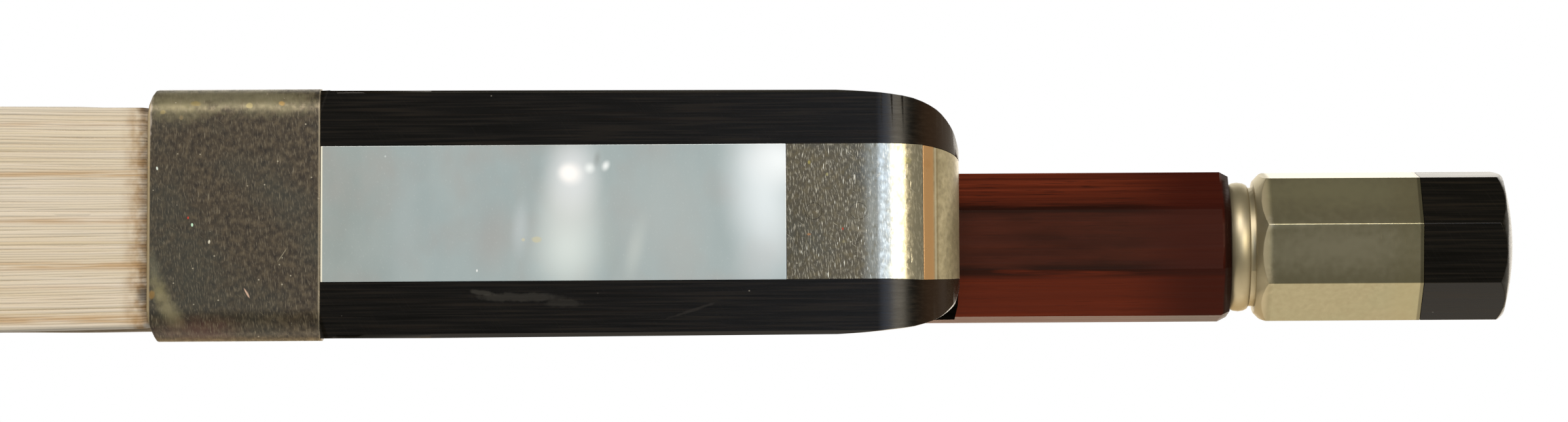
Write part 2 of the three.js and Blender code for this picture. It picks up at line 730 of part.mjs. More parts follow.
function cheekRod(diameter, side, depth) {
  const cheek = cheekProfile.map(([a, b]) => [a * wingHeight, (b * frogWidth) / 2]);
  const inner = between(cheek, eyeHeight) - depth;
  const length = frogWidth / 2 - inner + overrun;
  const geometry = new THREE.CylinderGeometry(diameter / 2, diameter / 2, length, eyeSides);
  return solid(geometry.translate(eyePlace, side * (inner + length / 2), eyeHeight));
}

function makeEye(hull, side) {
  return hull.intersect(cheekRod(eyeDiameter, side, eyeDepth));
}

function makeEyeRing(hull, side) {
  const core = cheekRod(eyeRingInner, side, eyeDepth + overrun);
  return hull.intersect(cheekRod(eyeRingOuter, side, eyeDepth).subtract(core));
}

function eyeSeats(side) {
  const seat = cheekRod(eyeDiameter + 2 * glueGap, side, eyeDepth + glueGap);
  const groove = cheekRod(eyeRingOuter + 2 * glueGap, side, eyeDepth + glueGap)
    .subtract(cheekRod(eyeRingInner - 2 * glueGap, side, eyeDepth + overrun));
  return seat.add(groove);
}

// Way of the hair from the mortise to the ferrule, wider towards the ferrule
function hairPassage() {
  const near = (hairWidthFerrule - 2 * overrun) / 2;
  const far = frogMortiseWidth / 2;
  const [start, end] = [ferruleLength - overrun, frogMortiseStart + overrun];
  const plan = [[start, -near], [end, -far], [end, far], [start, near]];
  return upZ(plan, slideThickness - glueGap, tongueFloor);
}

function makeFrogBody(hull) {
  const tongue = alongX(ferruleBore(slipGap), tongueSetback, ferruleLength + overrun)
    .intersect(box(0, ferruleLength + 2 * overrun, ferruleWidth, tongueFloor, ferruleHeight));
  const heelPins = heelPinPlaces.map((place) => makeHeelPin(place, glueGap));
  const screws = underslideScrewPlaces.map((place) => makeUnderslideScrew(place, glueGap));
  const stemFoot = axisHeight - eyeletDrop - eyeletStemLength;
  const mortiseEnd = frogMortiseStart + frogMortiseLength;
  const cradle = cradleOutline(slipGap + underslideThickness + glueGap, wingHeight + overrun);
  const cuts = [
    alongX(cradle, ferruleLength, frogLength + overrun),
    alongX(slideOutline(glueGap), ferruleLength - overrun, slideEnd + glueGap),
    hairPassage(),
    box(frogMortiseStart, mortiseEnd, frogMortiseWidth, pearlThickness, frogMortiseTop),
    makeHeelPlate(glueGap, overrun),
    makeBackPlate(glueGap, overrun),
    makeBackPin(glueGap),
    ...heelPins,
    ...screws,
    post(eyeletStemDiameter + 2 * glueGap, eyeletPlace, stemFoot - glueGap, axisHeight),
    eyeSeats(1),
    eyeSeats(-1),
  ];
  return cuts.reduce((body, cut) => body.subtract(cut), hull.add(tongue));
}

function makeFerrule() {
  const outer = archOutline(ferruleWidth, ferruleHeight, ferruleCorner, 0);
  return alongX(outer, 0, ferruleLength - glueGap)
    .subtract(alongX(ferruleBore(0), -overrun, ferruleLength + overrun));
}

function makeSlidePearl() {
  return box(ferruleLength, slideEnd, slideWidth, 0, pearlThickness);
}

function makeSlideBacking() {
  const low = pearlThickness + glueGap;
  const widthLow = THREE.MathUtils.mapLinear(low, pearlThickness, slideThickness, slideWidth, dovetailWidth);
  const outline = mirroredOutline([[widthLow / 2, low], [dovetailWidth / 2, slideThickness]]);
  return alongX(outline, ferruleLength, slideEnd);
}

function makeEyelet() {
  const block = box(
    eyeletPlace - eyeletLength / 2,
    eyeletPlace + eyeletLength / 2,
    eyeletWidth,
    axisHeight - eyeletDrop,
    axisHeight + eyeletRise,
  );
  const foot = axisHeight - eyeletDrop - eyeletStemLength;
  const stem = post(eyeletStemDiameter, eyeletPlace, foot, axisHeight - eyeletDrop / 2);
  const [boreStart, boreEnd] = [eyeletPlace - eyeletLength, eyeletPlace + eyeletLength];
  const bore = rod(threadDiameter + 2 * slipGap, boreStart, boreEnd, axisHeight);
  return block.add(stem).subtract(bore);
}

function makeSpreadWedge(hairTop) {
  const low = hairTop + slipGap;
  const high = tongueFloor - slipGap;
  const thin = (tongueFloor - low) / 3;
  const [start, end] = [wedgeSetback, wedgeSetback + wedgeLength];
  const middle = start + wedgeLength / 2;
  return acrossY([[start, low], [end, low], [end, low + thin], [middle, high], [start, high]], wedgeWidth);
}

// Button: silver sleeve with a turned collar, ebony core and tip, steel screw

function octagon(flats) {
  const reach = flats / 2 / Math.cos(Math.PI / 8);
  return Array.from({ length: 8 }, (_, i) => {
    const angle = Math.PI / 8 + (i * Math.PI) / 4;
    return [reach * Math.cos(angle), reach * Math.sin(angle)];
  });
}

const buttonReach = buttonFlats / 2 / Math.cos(Math.PI / 8);

function makeButtonSleeve() {
  const bead = Array.from({ length: beadSteps + 1 }, (_, i) => {
    const angle = (i / beadSteps) * Math.PI;
    const depth = (beadDiameter - grooveDiameter) / 2;
    return [grooveDiameter / 2 + depth * Math.sin(angle), (beadLength / 2) * (1 - Math.cos(angle))];
  });
  const groove = beadLength + grooveLength;
  const cone = groove + shoulderConeLength;
  const profile = [[0, 0], ...bead, [grooveDiameter / 2, groove], [shoulderConeDiameter / 2, groove],
    [buttonReach, cone], [buttonReach, sleeveLength + overrun], [0, sleeveLength + overrun]];
  const blank = turned(profile, 0, buttonSides);
  const flats = alongX(octagon(buttonFlats), groove, sleeveLength - glueGap)
    .add(rod(beadDiameter, 0, cone, 0, buttonSides));
  const cuts = [
    rod(nippleDiameter + 2 * slipGap, -overrun, sleeveWebStart, 0),
    rod(screwDiameter + 2 * glueGap, -overrun, sleeveLength, 0),
    rod(sleeveBore, sleeveWebEnd, sleeveLength + overrun, 0),
  ];
  return cuts.reduce((body, cut) => body.subtract(cut), blank.intersect(flats));
}

function makeButtonCore() {
  const dome = Array.from({ length: beadSteps + 1 }, (_, i) => {
    const share = i / beadSteps;
    return [(buttonReach - domeEdge) * (1 - share), buttonLength - domeRise * (1 - share) ** 2];
  });
  const rim = buttonLength - domeRise - domeEdge;
  const tipProfile = [[0, sleeveLength], [buttonReach, sleeveLength], [buttonReach, rim], ...dome];
  const tip = turned(tipProfile, 0, buttonSides)
    .intersect(alongX(octagon(buttonFlats), sleeveLength, buttonLength + overrun));
  const tenon = rod(sleeveBore - 2 * glueGap, sleeveWebEnd + glueGap, sleeveLength + overrun, 0);
  return tip.add(tenon).subtract(rod(screwDiameter + 2 * glueGap, 0, screwInButton + glueGap, 0));
}

function makeScrew() {
  const [shank, thread, tip] = [screwDiameter / 2, threadDiameter / 2, tipDiameter / 2];
  return turned([
    [0, -screwReach],
    [tip - screwPointLength / 2, -screwReach],
    [tip, -screwReach + screwPointLength],
    [tip, -screwReach + tipLength],
    [thread, -screwReach + tipLength + screwPointLength],
    [thread, -screwPlainLength],
    [shank, -screwPlainLength + screwPointLength],
    [shank, screwInButton],
    [0, screwInButton],
  ], 0);
}

// Hair: one flat ribbon from the head's mortise over the plug to the frog's mortise

const hairFerruleHeight = ferruleFlat + slipGap + hairThickness / 2;
const hairSlideHeight = slideThickness + slipGap + hairThickness / 2;
const frogMortiseEnd = frogX + frogMortiseStart + frogMortiseLength;
const headKnotX = noseX + headMortiseStart + knotDiameter / 2 + slipGap;
const frogKnotX = frogMortiseEnd - knotDiameter / 2 - slipGap;
const headKnotZ = headMortiseTop - knotDiameter / 2 - slipGap;
const frogKnotZ = frogMortiseTop - knotDiameter / 2 - slipGap;

function makeHairRibbon() {
  const plateX = noseX + headLength;
  const headBend = headKnotX + knotDiameter / 2 - hairThickness / 2;
  const frogBend = frogKnotX - knotDiameter / 2 + hairThickness / 2;
  const route = [
    [headBend, headKnotZ - knotDiameter / 2 - knotGap, hairWidthHead],
    [headBend, hairHeadHeight + hairThickness, hairWidthHead],
    [headBend + hairThickness, hairHeadHeight, hairWidthHead],
  ];
  for (let i = 0; i <= hairSteps; i += 1) {
    const share = i / hairSteps;
    route.push([
      THREE.MathUtils.lerp(plateX, frogX, share),
      THREE.MathUtils.lerp(hairHeadHeight, hairFerruleHeight, share),
      THREE.MathUtils.lerp(hairWidthHead, hairWidthFerrule, share),
    ]);
  }
  const passageWidth = THREE.MathUtils.lerp(hairWidthFrog, hairWidthFerrule, 1 / 3);
  route.push(
    [frogX + wedgeSetback + wedgeLength, hairFerruleHeight, passageWidth],
    [frogX + ferruleLength, hairSlideHeight, passageWidth],
    [frogX + frogMortiseStart, hairSlideHeight, hairWidthFrog],
    [frogBend - hairThickness, hairSlideHeight, hairWidthFrog],
    [frogBend, hairSlideHeight + 2 * hairThickness, hairWidthFrog],
    [frogBend, frogKnotZ - knotDiameter / 2 - knotGap, hairWidthFrog],
  );
  const stations = route.map(([x, z, width], i) => {
    const before = route[Math.max(0, i - 1)];
    const after = route[Math.min(route.length - 1, i + 1)];
    const along = new THREE.Vector2(after[0] - before[0], after[1] - before[1]).normalize();
    const [half, edge] = [width / 2, hairThickness / 2];
    const outline = [[-half, -edge / 2], [-half + edge, -edge], [half - edge, -edge], [half, -edge / 2],
      [half, edge / 2], [half - edge, edge], [-half + edge, edge], [-half, edge / 2]];
    return { outline, place: (y, off) => [x - off * along.y, y, z + off * along.x] };
  });
  return loft(stations);
}

// Sleeve over the handle, between two distances from the butt; its ends keep a share of its thickness
function makeSleeve(near, far, thickness, edgeShare) {
  const places = stickPlaces.filter((at) => at >= near && at <= far);
  const cover = (at) => thickness * (at === near || at === far ? edgeShare : 1);
  const outer = places.map((at) => stickStation(at, slipGap + cover(at)));
  const inner = [near - overrun, ...places, far + overrun].map((at) => stickStation(at, slipGap));
  return loft(outer).subtract(loft(inner));
}

// Materials

function material(name, color, roughness, metalness) {
  return new THREE.MeshStandardMaterial({ name, color, roughness, metalness });
}

const pernambuco = material('pernambuco', '#4a2014', 0.35, 0);
const ebony = material('ebony', '#15130f', 0.4, 0);
const silver = material('silver', '#8d897a', 0.32, 1);
const tarnishedSilver = material('tarnished silver', '#4c463a', 0.42, 1);
const pearl = material('mother of pearl', '#aab1b0', 0.25, 0);
const bone = material('bone', '#e8e0cc', 0.4, 0);
const brass = material('brass', '#b08d4a', 0.35, 1);
const steel = material('steel', '#8a8a86', 0.35, 1);
const maple = material('maple', '#c9a673', 0.6, 0);
const horsehair = material('horsehair', '#cdbfa8', 0.55, 0);
const boundHair = material('bound hair', '#8c7a5c', 0.7, 0);
const leather = material('leather', '#2a1c15', 0.7, 0);

const bow = new THREE.Group();
const frog = new THREE.Group();
const button = new THREE.Group();
frog.position.x = frogX;
button.position.set(buttX, 0, axisHeight);
button.rotation.x = radians(buttonTurn);
bow.add(frog, button);

function addPiece(group, name, body, finish) {
  const mesh = new THREE.Mesh(geometryOf(body), finish);
  mesh.name = name;
  group.add(mesh);
}

addPiece(bow, 'stick', makeStick(), pernambuco);
addPiece(bow, 'head_plate', makeHeadPlate(), bone);
addPiece(bow, 'head_liner', makeHeadLiner(), ebony);
const headPlugStart = headKnotX + knotDiameter / 2 + slipGap;
const headPlugEnd = noseX + headMortiseStart + headMortiseLength - slipGap;
const headPlugLow = hairHeadHeight + 1.5 * hairThickness;
addPiece(bow, 'head_plug', makePlug(
  headPlugStart,
  headPlugEnd,
  headMortiseWidth - 2 * slipGap,
  headPlugLow,
  headMortiseTop - slipGap,
), maple);
addPiece(bow, 'head_hair_knot', makeKnot(headKnotX, headKnotZ, headMortiseWidth - 4 * slipGap), boundHair);
addPiece(bow, 'hair_ribbon', makeHairRibbon(), horsehair);

const leatherSleeve = makeSleeve(leatherNear, leatherFar, leatherThickness, leatherEdgeShare);
addPiece(bow, 'thumb_leather', leatherSleeve, leather);
addPiece(bow, 'winding', makeSleeve(windingNear, windingFar, windingWire, 1), silver);

const hull = frogHull();
addPiece(frog, 'frog_body', makeFrogBody(hull), ebony);
addPiece(frog, 'ferrule', makeFerrule(), tarnishedSilver);
addPiece(frog, 'spread_wedge', makeSpreadWedge(hairFerruleHeight + hairThickness / 2), maple);
addPiece(frog, 'slide_pearl', makeSlidePearl(), pearl);
addPiece(frog, 'slide_backing', makeSlideBacking(), ebony);
addPiece(frog, 'frog_plug', makePlug(
  frogMortiseStart + slipGap,
  frogKnotX - frogX - knotDiameter / 2 - hairThickness - slipGap,
  frogMortiseWidth - 2 * slipGap,
  hairSlideHeight + hairThickness / 2 + slipGap,
  frogMortiseTop - slipGap,
), maple);
const frogKnot = makeKnot(frogKnotX - frogX, frogKnotZ, frogMortiseWidth - 4 * slipGap);
addPiece(frog, 'frog_hair_knot', frogKnot, boundHair);
const heelPins = heelPinPlaces.map((place) => makeHeelPin(place, glueGap));
const pinnedPlate = heelPins.reduce((body, pin) => body.subtract(pin), makeHeelPlate());
addPiece(frog, 'heel_plate', pinnedPlate, tarnishedSilver);
addPiece(frog, 'heel_back_plate', makeBackPlate().subtract(makeBackPin(glueGap)), silver);
addPiece(frog, 'heel_pin_front', makeHeelPin(heelPinPlaces[0]), silver);
addPiece(frog, 'heel_pin_rear', makeHeelPin(heelPinPlaces[1]), silver);
addPiece(frog, 'heel_pin_back', makeBackPin(), silver);
addPiece(frog, 'underslide', makeUnderslide(), silver);
addPiece(frog, 'underslide_screw_front', makeUnderslideScrew(underslideScrewPlaces[0]), steel);
addPiece(frog, 'underslide_screw_rear', makeUnderslideScrew(underslideScrewPlaces[1]), steel);
for (const [name, side] of [['left', 1], ['right', -1]]) {
  addPiece(frog, `eye_pearl_${name}`, makeEye(hull, side), pearl);
  addPiece(frog, `eye_ring_${name}`, makeEyeRing(hull, side), silver);
}
addPiece(frog, 'eyelet', makeEyelet(), brass);

addPiece(button, 'button_sleeve', makeButtonSleeve(), silver);
addPiece(button, 'button_core', makeButtonCore(), ebony);
addPiece(button, 'screw', makeScrew(), steel);

export default bow;
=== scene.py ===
import math
import random

import bmesh
import bpy
from mathutils import Matrix, Vector


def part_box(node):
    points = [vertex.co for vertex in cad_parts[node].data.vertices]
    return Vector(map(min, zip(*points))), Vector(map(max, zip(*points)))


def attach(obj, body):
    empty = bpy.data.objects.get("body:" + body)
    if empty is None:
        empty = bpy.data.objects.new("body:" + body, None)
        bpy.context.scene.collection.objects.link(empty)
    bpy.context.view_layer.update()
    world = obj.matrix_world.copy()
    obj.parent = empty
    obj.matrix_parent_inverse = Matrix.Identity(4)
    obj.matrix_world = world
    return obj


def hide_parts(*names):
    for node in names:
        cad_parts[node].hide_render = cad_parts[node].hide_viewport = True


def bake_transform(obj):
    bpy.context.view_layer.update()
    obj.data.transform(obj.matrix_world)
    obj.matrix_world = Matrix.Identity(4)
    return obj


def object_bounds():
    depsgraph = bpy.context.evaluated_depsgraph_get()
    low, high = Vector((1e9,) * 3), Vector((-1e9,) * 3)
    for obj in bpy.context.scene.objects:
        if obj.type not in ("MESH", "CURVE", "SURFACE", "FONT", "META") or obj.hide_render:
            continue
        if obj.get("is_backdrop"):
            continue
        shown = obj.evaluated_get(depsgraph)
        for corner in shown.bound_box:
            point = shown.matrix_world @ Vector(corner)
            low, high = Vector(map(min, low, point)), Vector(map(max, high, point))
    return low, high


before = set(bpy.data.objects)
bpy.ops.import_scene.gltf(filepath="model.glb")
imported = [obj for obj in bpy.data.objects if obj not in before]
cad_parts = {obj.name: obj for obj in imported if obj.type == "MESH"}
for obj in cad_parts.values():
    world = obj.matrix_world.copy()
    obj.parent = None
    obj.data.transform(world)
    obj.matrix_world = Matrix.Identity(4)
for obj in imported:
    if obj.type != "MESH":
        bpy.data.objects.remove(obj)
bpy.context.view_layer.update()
MM = 0.001

# Camera: the photographer stood square to the hair side of the frog, 0.4 m away, and leaned a
# little towards the far cheek, at +Y, which is the lower one in the picture. The camera wasn't
# quite level. The bow stands on its hair side here, so the camera is under the floor.
look_at = Vector((308.9, -0.02, 0)) * MM
camera_distance = 400 * MM
camera_lean = math.radians(7.0)
camera_roll = math.radians(0.34)
lens, sensor = 141.7, 36.0
nearest, farthest = 0.01, 20

ahead = Vector((0, -math.sin(camera_lean), math.cos(camera_lean)))
picture_up = Vector((0, -math.cos(camera_lean), -math.sin(camera_lean)))
camera = bpy.data.objects.new("camera", bpy.data.cameras.new("camera"))
camera.data.lens = lens
camera.data.sensor_width = sensor
camera.data.clip_start, camera.data.clip_end = nearest, farthest
turn = Matrix((ahead.cross(picture_up), picture_up, -ahead)).transposed().to_4x4()
turn = turn @ Matrix.Rotation(-camera_roll, 4, "Z")
camera.matrix_world = Matrix.Translation(look_at - ahead * camera_distance) @ turn
bpy.context.scene.collection.objects.link(camera)
bpy.context.scene.camera = camera
bpy.context.scene.view_settings.view_transform = "Standard"


def linear(code):
    """The linear colour of an sRGB hex code."""
    parts = [int(code[i:i + 2], 16) / 255 for i in (1, 3, 5)]
    parts = [p / 12.92 if p <= 0.04045 else ((p + 0.055) / 1.055) ** 2.4 for p in parts]
    return parts + [1.0]


def add(tree, kind, inputs=None, out=0, stops=(), **settings):
    """Adds a node with its settings, links and colour stops, and gives one of its outputs."""
    node = tree.nodes.new(kind)
    for name, value in settings.items():
        setattr(node, name, value)
    for place, (position, colour) in enumerate(stops):
        ramp = node.color_ramp.elements
        element = ramp[place] if place < 2 else ramp.new(position)
        element.position, element.color = position, colour
    for key, value in (inputs or {}).items():
        if isinstance(value, bpy.types.NodeSocket):
            tree.links.new(value, node.inputs[key])
        else:
            node.inputs[key].default_value = value
    return node.outputs[out]


# Studio: a white paper background, and a room that metal mirrors, pale above and at the far side
# and dark where the photographer stands.
room_light, room_up = 0.34, (0, 0.6, 0.8)
world = bpy.data.worlds.new("studio")
bpy.context.scene.world = world
world.use_nodes = True
tree = world.node_tree
direction = add(tree, "ShaderNodeTexCoord")
towards_room = add(tree, "ShaderNodeVectorMath", {0: direction, 1: room_up}, 1,
                   operation="DOT_PRODUCT")
level = add(tree, "ShaderNodeMapRange", {"Value": towards_room, "From Min": -1, "From Max": 1})
room = add(tree, "ShaderNodeValToRGB", {0: level}, stops=[
    (0.0, linear("#606160")), (0.1, linear("#5e5f5d")), (0.43, linear("#605e54")),
    (0.48, linear("#a59b86")), (0.56, linear("#e8e0d0")), (0.78, linear("#fff6e6")),
    (1.0, linear("#ffdda6"))])
path = add(tree, "ShaderNodeLightPath").node
soft = add(tree, "ShaderNodeMix", {
    0: path.outputs["Is Glossy Ray"], 6: [room_light] * 3 + [1], 7: room}, 2, data_type="RGBA")
seen = add(tree, "ShaderNodeMath", {
    0: path.outputs["Is Camera Ray"], 1: path.outputs["Is Transmission Ray"]},
    operation="MAXIMUM")
paper = add(tree, "ShaderNodeMix", {0: seen, 6: soft, 7: linear("#ffffff")}, 2, data_type="RGBA")
tree.links.new(paper, tree.nodes["Background"].inputs["Color"])

# Floor: a pale matt board that the bow stands on. It is seen from above only, so that it doesn't
# cover the photograph's view.
floor_reach = 1.6
floor_drop = 0.05 * MM
shape = bmesh.new()
bmesh.ops.create_grid(shape, x_segments=1, y_segments=1, size=floor_reach)
bmesh.ops.translate(shape, verts=shape.verts, vec=(0, 0, -floor_drop))
mesh = bpy.data.meshes.new("floor")
shape.to_mesh(mesh)
shape.free()
floor = bpy.data.objects.new("floor", mesh)
bpy.context.scene.collection.objects.link(floor)
floor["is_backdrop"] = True
floor_paint = bpy.data.materials.new("pale matt board")
floor_paint.use_nodes = True
tree = floor_paint.node_tree
tree.nodes.remove(tree.nodes["Principled BSDF"])
path = add(tree, "ShaderNodeLightPath").node
below = add(tree, "ShaderNodeNewGeometry").node.outputs["Backfacing"]
above = add(tree, "ShaderNodeMath", {0: 1.0, 1: below}, operation="SUBTRACT")
shown = add(tree, "ShaderNodeMath", {0: path.outputs["Is Camera Ray"], 1: above},
            operation="MULTIPLY")
board = add(tree, "ShaderNodeBsdfDiffuse", {"Color": linear("#eeede9")})
air = add(tree, "ShaderNodeBsdfTransparent")
cover = add(tree, "ShaderNodeMixShader", {0: shown, 1: air, 2: board})
tree.links.new(cover, tree.nodes["Material Output"].inputs["Surface"])
mesh.materials.append(floor_paint)

# Lamps: name, aim along the bow, direction from there, distance, size, power and colour. The first
# stands by the photographer and gives the button's bead its glint; the next two are the warm and
# the bluish window that the rounded heel mirrors; the broad ones light the whole bow.
frog_middle, bow_middle, lamp_aim = 308 * MM, 0.0, 10 * MM
key_turn, warm_turn, blue_turn = math.radians(39), math.radians(31), math.radians(14.5)
window_lean = -0.12
lamps = [
    ("key", frog_middle, (0, -math.sin(key_turn), -math.cos(key_turn)),
     0.6, (0.24, 0.24), 1.7, "#fff6ec"),
    ("warm window", frog_middle, (math.sin(warm_turn), window_lean, -math.cos(warm_turn)),
     0.7, (0.25, 0.22), 2.1, "#fff3dc"),
    ("blue window", frog_middle, (math.sin(blue_turn), window_lean, -math.cos(blue_turn)),
     0.7, (0.17, 0.22), 0.62, "#cfe0ff"),
    ("sheet overhead", bow_middle, (0.1, -0.35, 1), 1.7, (2.4, 1.8), 17.0, "#fffdf8"),
    ("sheet at the far side", bow_middle, (0, 1, 0.35), 1.3, (1.6, 0.6), 2.5, "#f6f9ff"),
]
for name, aim, towards, distance, size, power, colour in lamps:
    light = bpy.data.lights.new(name, "AREA")
    light.shape = "RECTANGLE"
    light.size, light.size_y = size
    light.energy = power
    light.color = linear(colour)[:3]
    lamp = bpy.data.objects.new(name, light)
    towards = Vector(towards).normalized()
    lamp.location = Vector((aim, 0, lamp_aim)) + towards * distance
    lamp.rotation_euler = towards.to_track_quat("Z", "Y").to_euler()
    lamp.visible_camera = False
    bpy.context.scene.collection.objects.link(lamp)


# Stick: pernambuco, planed to eight flats at the handle and round further on, oiled and polished
# with a thin varnish. Its edges are eased with a scraper, and the flat over the hair is painted
# darker and greyer, partly as dust and handling and partly as painted shade.
axis_height, flat_half = 21.5, 2.1
handle_start, handle_blend = 175 * MM, 10 * MM
redder_start, redder_end = 331 * MM, 337 * MM
rim_start, rim_end = 338.55 * MM, 338.75 * MM
edge_ease, edge_turn = 0.22 * MM, 22
# the edges that are eased: from here on, so long, so nearly level and so far from the axis
eased_from, edge_least, edge_level, edge_out = 150 * MM, 1 * MM, 0.99, 4.8 * MM


def node_copy(node, flat=0.02):
    """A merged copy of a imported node's mesh, with the triangles of a flat face joined."""
    shape = bmesh.new()
    shape.from_mesh(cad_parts[node].data)
    bmesh.ops.remove_doubles(shape, verts=shape.verts, dist=0.002 * MM)
    bmesh.ops.dissolve_limit(shape, angle_limit=math.radians(flat), use_dissolve_boundaries=False,
                             verts=shape.verts, edges=shape.edges, delimit=set())
    return shape


def ease(shape, edges, width, segments=2):
    """Rounds edges by a width."""
    bmesh.ops.bevel(shape, geom=edges, offset=width, offset_type="OFFSET", affect="EDGES",
                    segments=segments, profile=0.5, material=-1, clamp_overlap=True)


def sharp_edges(shape, least=50):
    """The outward edges of a shape that turn by more than so many degrees."""
    return [e for e in shape.edges if len(e.link_faces) == 2 and e.is_convex
            and e.calc_face_angle() > math.radians(least)]


def finish_piece(name, shape, material, smooth=35):
    """A shaded object of a shape, with its normals out."""
    bmesh.ops.recalc_face_normals(shape, faces=shape.faces)
    mesh = bpy.data.meshes.new(name)
    shape.to_mesh(mesh)
    shape.free()
    mesh.polygons.foreach_set("use_smooth", [True] * len(mesh.polygons))
    mesh.set_sharp_from_angle(angle=math.radians(smooth))
    mesh.materials.append(material)
    piece = bpy.data.objects.new(name, mesh)
    bpy.context.scene.collection.objects.link(piece)
    normals = piece.modifiers.new("weighted normals", "WEIGHTED_NORMAL")
    normals.keep_sharp = True
    return piece


def start_material(name, roughness, metallic=0.0, **sockets):
    """A Principled material: its tree, shader and object coordinates."""
    material = bpy.data.materials.new(name)
    material.use_nodes = True
    tree = material.node_tree
    shader = tree.nodes["Principled BSDF"]
    shader.inputs["Roughness"].default_value = roughness
    shader.inputs["Metallic"].default_value = metallic
    for key, value in sockets.items():
        shader.inputs[key.replace("_", " ")].default_value = value
    coordinates = add(tree, "ShaderNodeTexCoord").node
    return material, tree, shader, coordinates


def grain(tree, place, size, turn=0.0, detail=2.0, low=0.3, high=0.7):
    """A noise whose spots have a length, width and depth in mm, turned about Z, from 0 to 1."""
    spots = add(tree, "ShaderNodeMapping", {
        "Vector": place, "Rotation": (0, 0, math.radians(turn)),
        "Scale": [s * MM for s in size]}, vector_type="TEXTURE")
    noise = add(tree, "ShaderNodeTexNoise", {"Vector": spots, "Scale": 1.0, "Detail": detail})
    return add(tree, "ShaderNodeMapRange", {"Value": noise, "From Min": low, "From Max": high})


def lay(tree, cover, under, over):
    """Lays one colour over another by a cover from 0 to 1."""
    return add(tree, "ShaderNodeMix", {0: cover, 6: under, 7: over}, 2, data_type="RGBA")


def window(tree, value, start, end, strength=1.0):
    """0 before the start of a run and a strength after its end."""
    return add(tree, "ShaderNodeMapRange", {
        "Value": value, "From Min": start, "From Max": end, "To Max": strength},
        interpolation_type="SMOOTHSTEP")


def times(tree, one, other):
    """The product of two covers."""
    return add(tree, "ShaderNodeMath", {0: one, 1: other}, operation="MULTIPLY")


def distance_from(tree, value, line):
    """How far a value lies from a line's."""
    past = add(tree, "ShaderNodeMath", {0: value, 1: line}, operation="SUBTRACT")
    return add(tree, "ShaderNodeMath", {0: past}, operation="ABSOLUTE")


def relief(tree, shader, height, depth):
    """Gives the surface a relief of a depth in mm."""
    bump = add(tree, "ShaderNodeBump", {"Height": height, "Distance": depth * MM,
                                        "Strength": 1.0})
    tree.links.new(bump, shader.inputs["Normal"])


# planed and varnished: red-brown, with fine fibres along the stick, short dark pores, little gloss
pernambuco, tree, shader, coordinates = start_material(
    "pernambuco, thin varnish", 0.42, Specular_IOR_Level=0.1, Specular_Tint=linear("#ffdcc4"))
place = coordinates.outputs["Object"]
x, y, z = add(tree, "ShaderNodeSeparateXYZ", {0: place}).node.outputs
facing = add(tree, "ShaderNodeSeparateXYZ", {0: coordinates.outputs["Normal"]}).node.outputs
fibre = grain(tree, place, (14, 0.3, 0.3), detail=4)
shade = grain(tree, place, (45, 2.6, 2.6))
wood = add(tree, "ShaderNodeValToRGB", {0: fibre}, stops=[
    (0.0, linear("#42160a")), (0.5, linear("#58210f")), (1.0, linear("#6d2c17"))])
wood = lay(tree, times(tree, shade, 0.7), wood, linear("#3a150a"))
pores = grain(tree, place, (2.4, 0.11, 0.11), detail=1, low=0.62, high=0.7)
wood = lay(tree, times(tree, pores, 0.65), wood, linear("#230d08"))
# dust and painted shade on the handle's flat over the hair, and a dark line where that flat turns
handle = window(tree, x, handle_start, handle_start + handle_blend)
shaded_underside = window(tree, facing[2], -0.90, -0.985, 0.8)
dust_and_shade = lay(tree, grain(tree, place, (5, 1.1, 1.1), detail=4), linear("#1c0a05"),
           linear("#371810"))
wood = lay(tree, times(tree, shaded_underside, handle), wood, dust_and_shade)
edge = times(tree, window(tree, facing[2], -0.76, -0.84), window(tree, facing[2], -0.985, -0.95))
wood = lay(tree, times(tree, times(tree, edge, handle), 0.7), wood, linear("#32130b"))
# the far side painted lighter and redder where it is lit, and ragged dark lines along both edges of
# that flat
lit_far_side = window(tree, facing[1], 0.5, 0.7, 0.32)
wood = lay(tree, times(tree, lit_far_side, handle), wood, linear("#86331a"))
beside = distance_from(tree, distance_from(tree, y, 0.0), flat_half * MM)
beside = times(tree, window(tree, beside, 0.6 * MM, 0.15 * MM, 0.9),
               window(tree, facing[2], -0.6, -0.7))
ragged = grain(tree, place, (7, 0.5, 0.5), detail=3, high=0.5)
wood = lay(tree, times(tree, times(tree, beside, ragged), handle), wood, linear("#1c0804"))
# redder wood at the butt, and its dark rim against the button
redder = window(tree, x, redder_start, redder_end, 0.8)
wood = lay(tree, redder, wood, linear("#330c05"))
rim = window(tree, x, rim_start, rim_end, 0.85)
wood = lay(tree, rim, wood, linear("#1c0d09"))
tree.links.new(wood, shader.inputs["Base Color"])
gloss = add(tree, "ShaderNodeMapRange", {"Value": fibre, "To Min": 0.38, "To Max": 0.5})
tree.links.new(gloss, shader.inputs["Roughness"])
relief(tree, shader, fibre, 0.008)

shape = node_copy("stick")
arrises = [e for e in sharp_edges(shape, edge_turn)
           if min(v.co.x for v in e.verts) > eased_from and e.calc_length() > edge_least
           and abs((e.verts[0].co - e.verts[1].co).normalized().x) > edge_level
           and math.hypot(e.verts[0].co.y, e.verts[0].co.z - axis_height * MM) > edge_out]
ease(shape, arrises, edge_ease, 3)
stick = finish_piece("stick_wood", shape, pernambuco)
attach(stick, "stick")
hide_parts("stick")

# Head liner: a thin plate of ebony glued under the nose of the stick, as a base for the bone. It is
# cut from the same near black heartwood as the frog, and its edges are broken with a file.
liner_ease = 0.05 * MM
ebony_gloss, mark_roughness = 0.16, 0.5
# heights where the brown is gone and full, and the dull corner's run and extra height, in mm
brown_gone, brown_full = 7, 2.5
dull_start, dull_end, dull_lift = 316, 318, 6


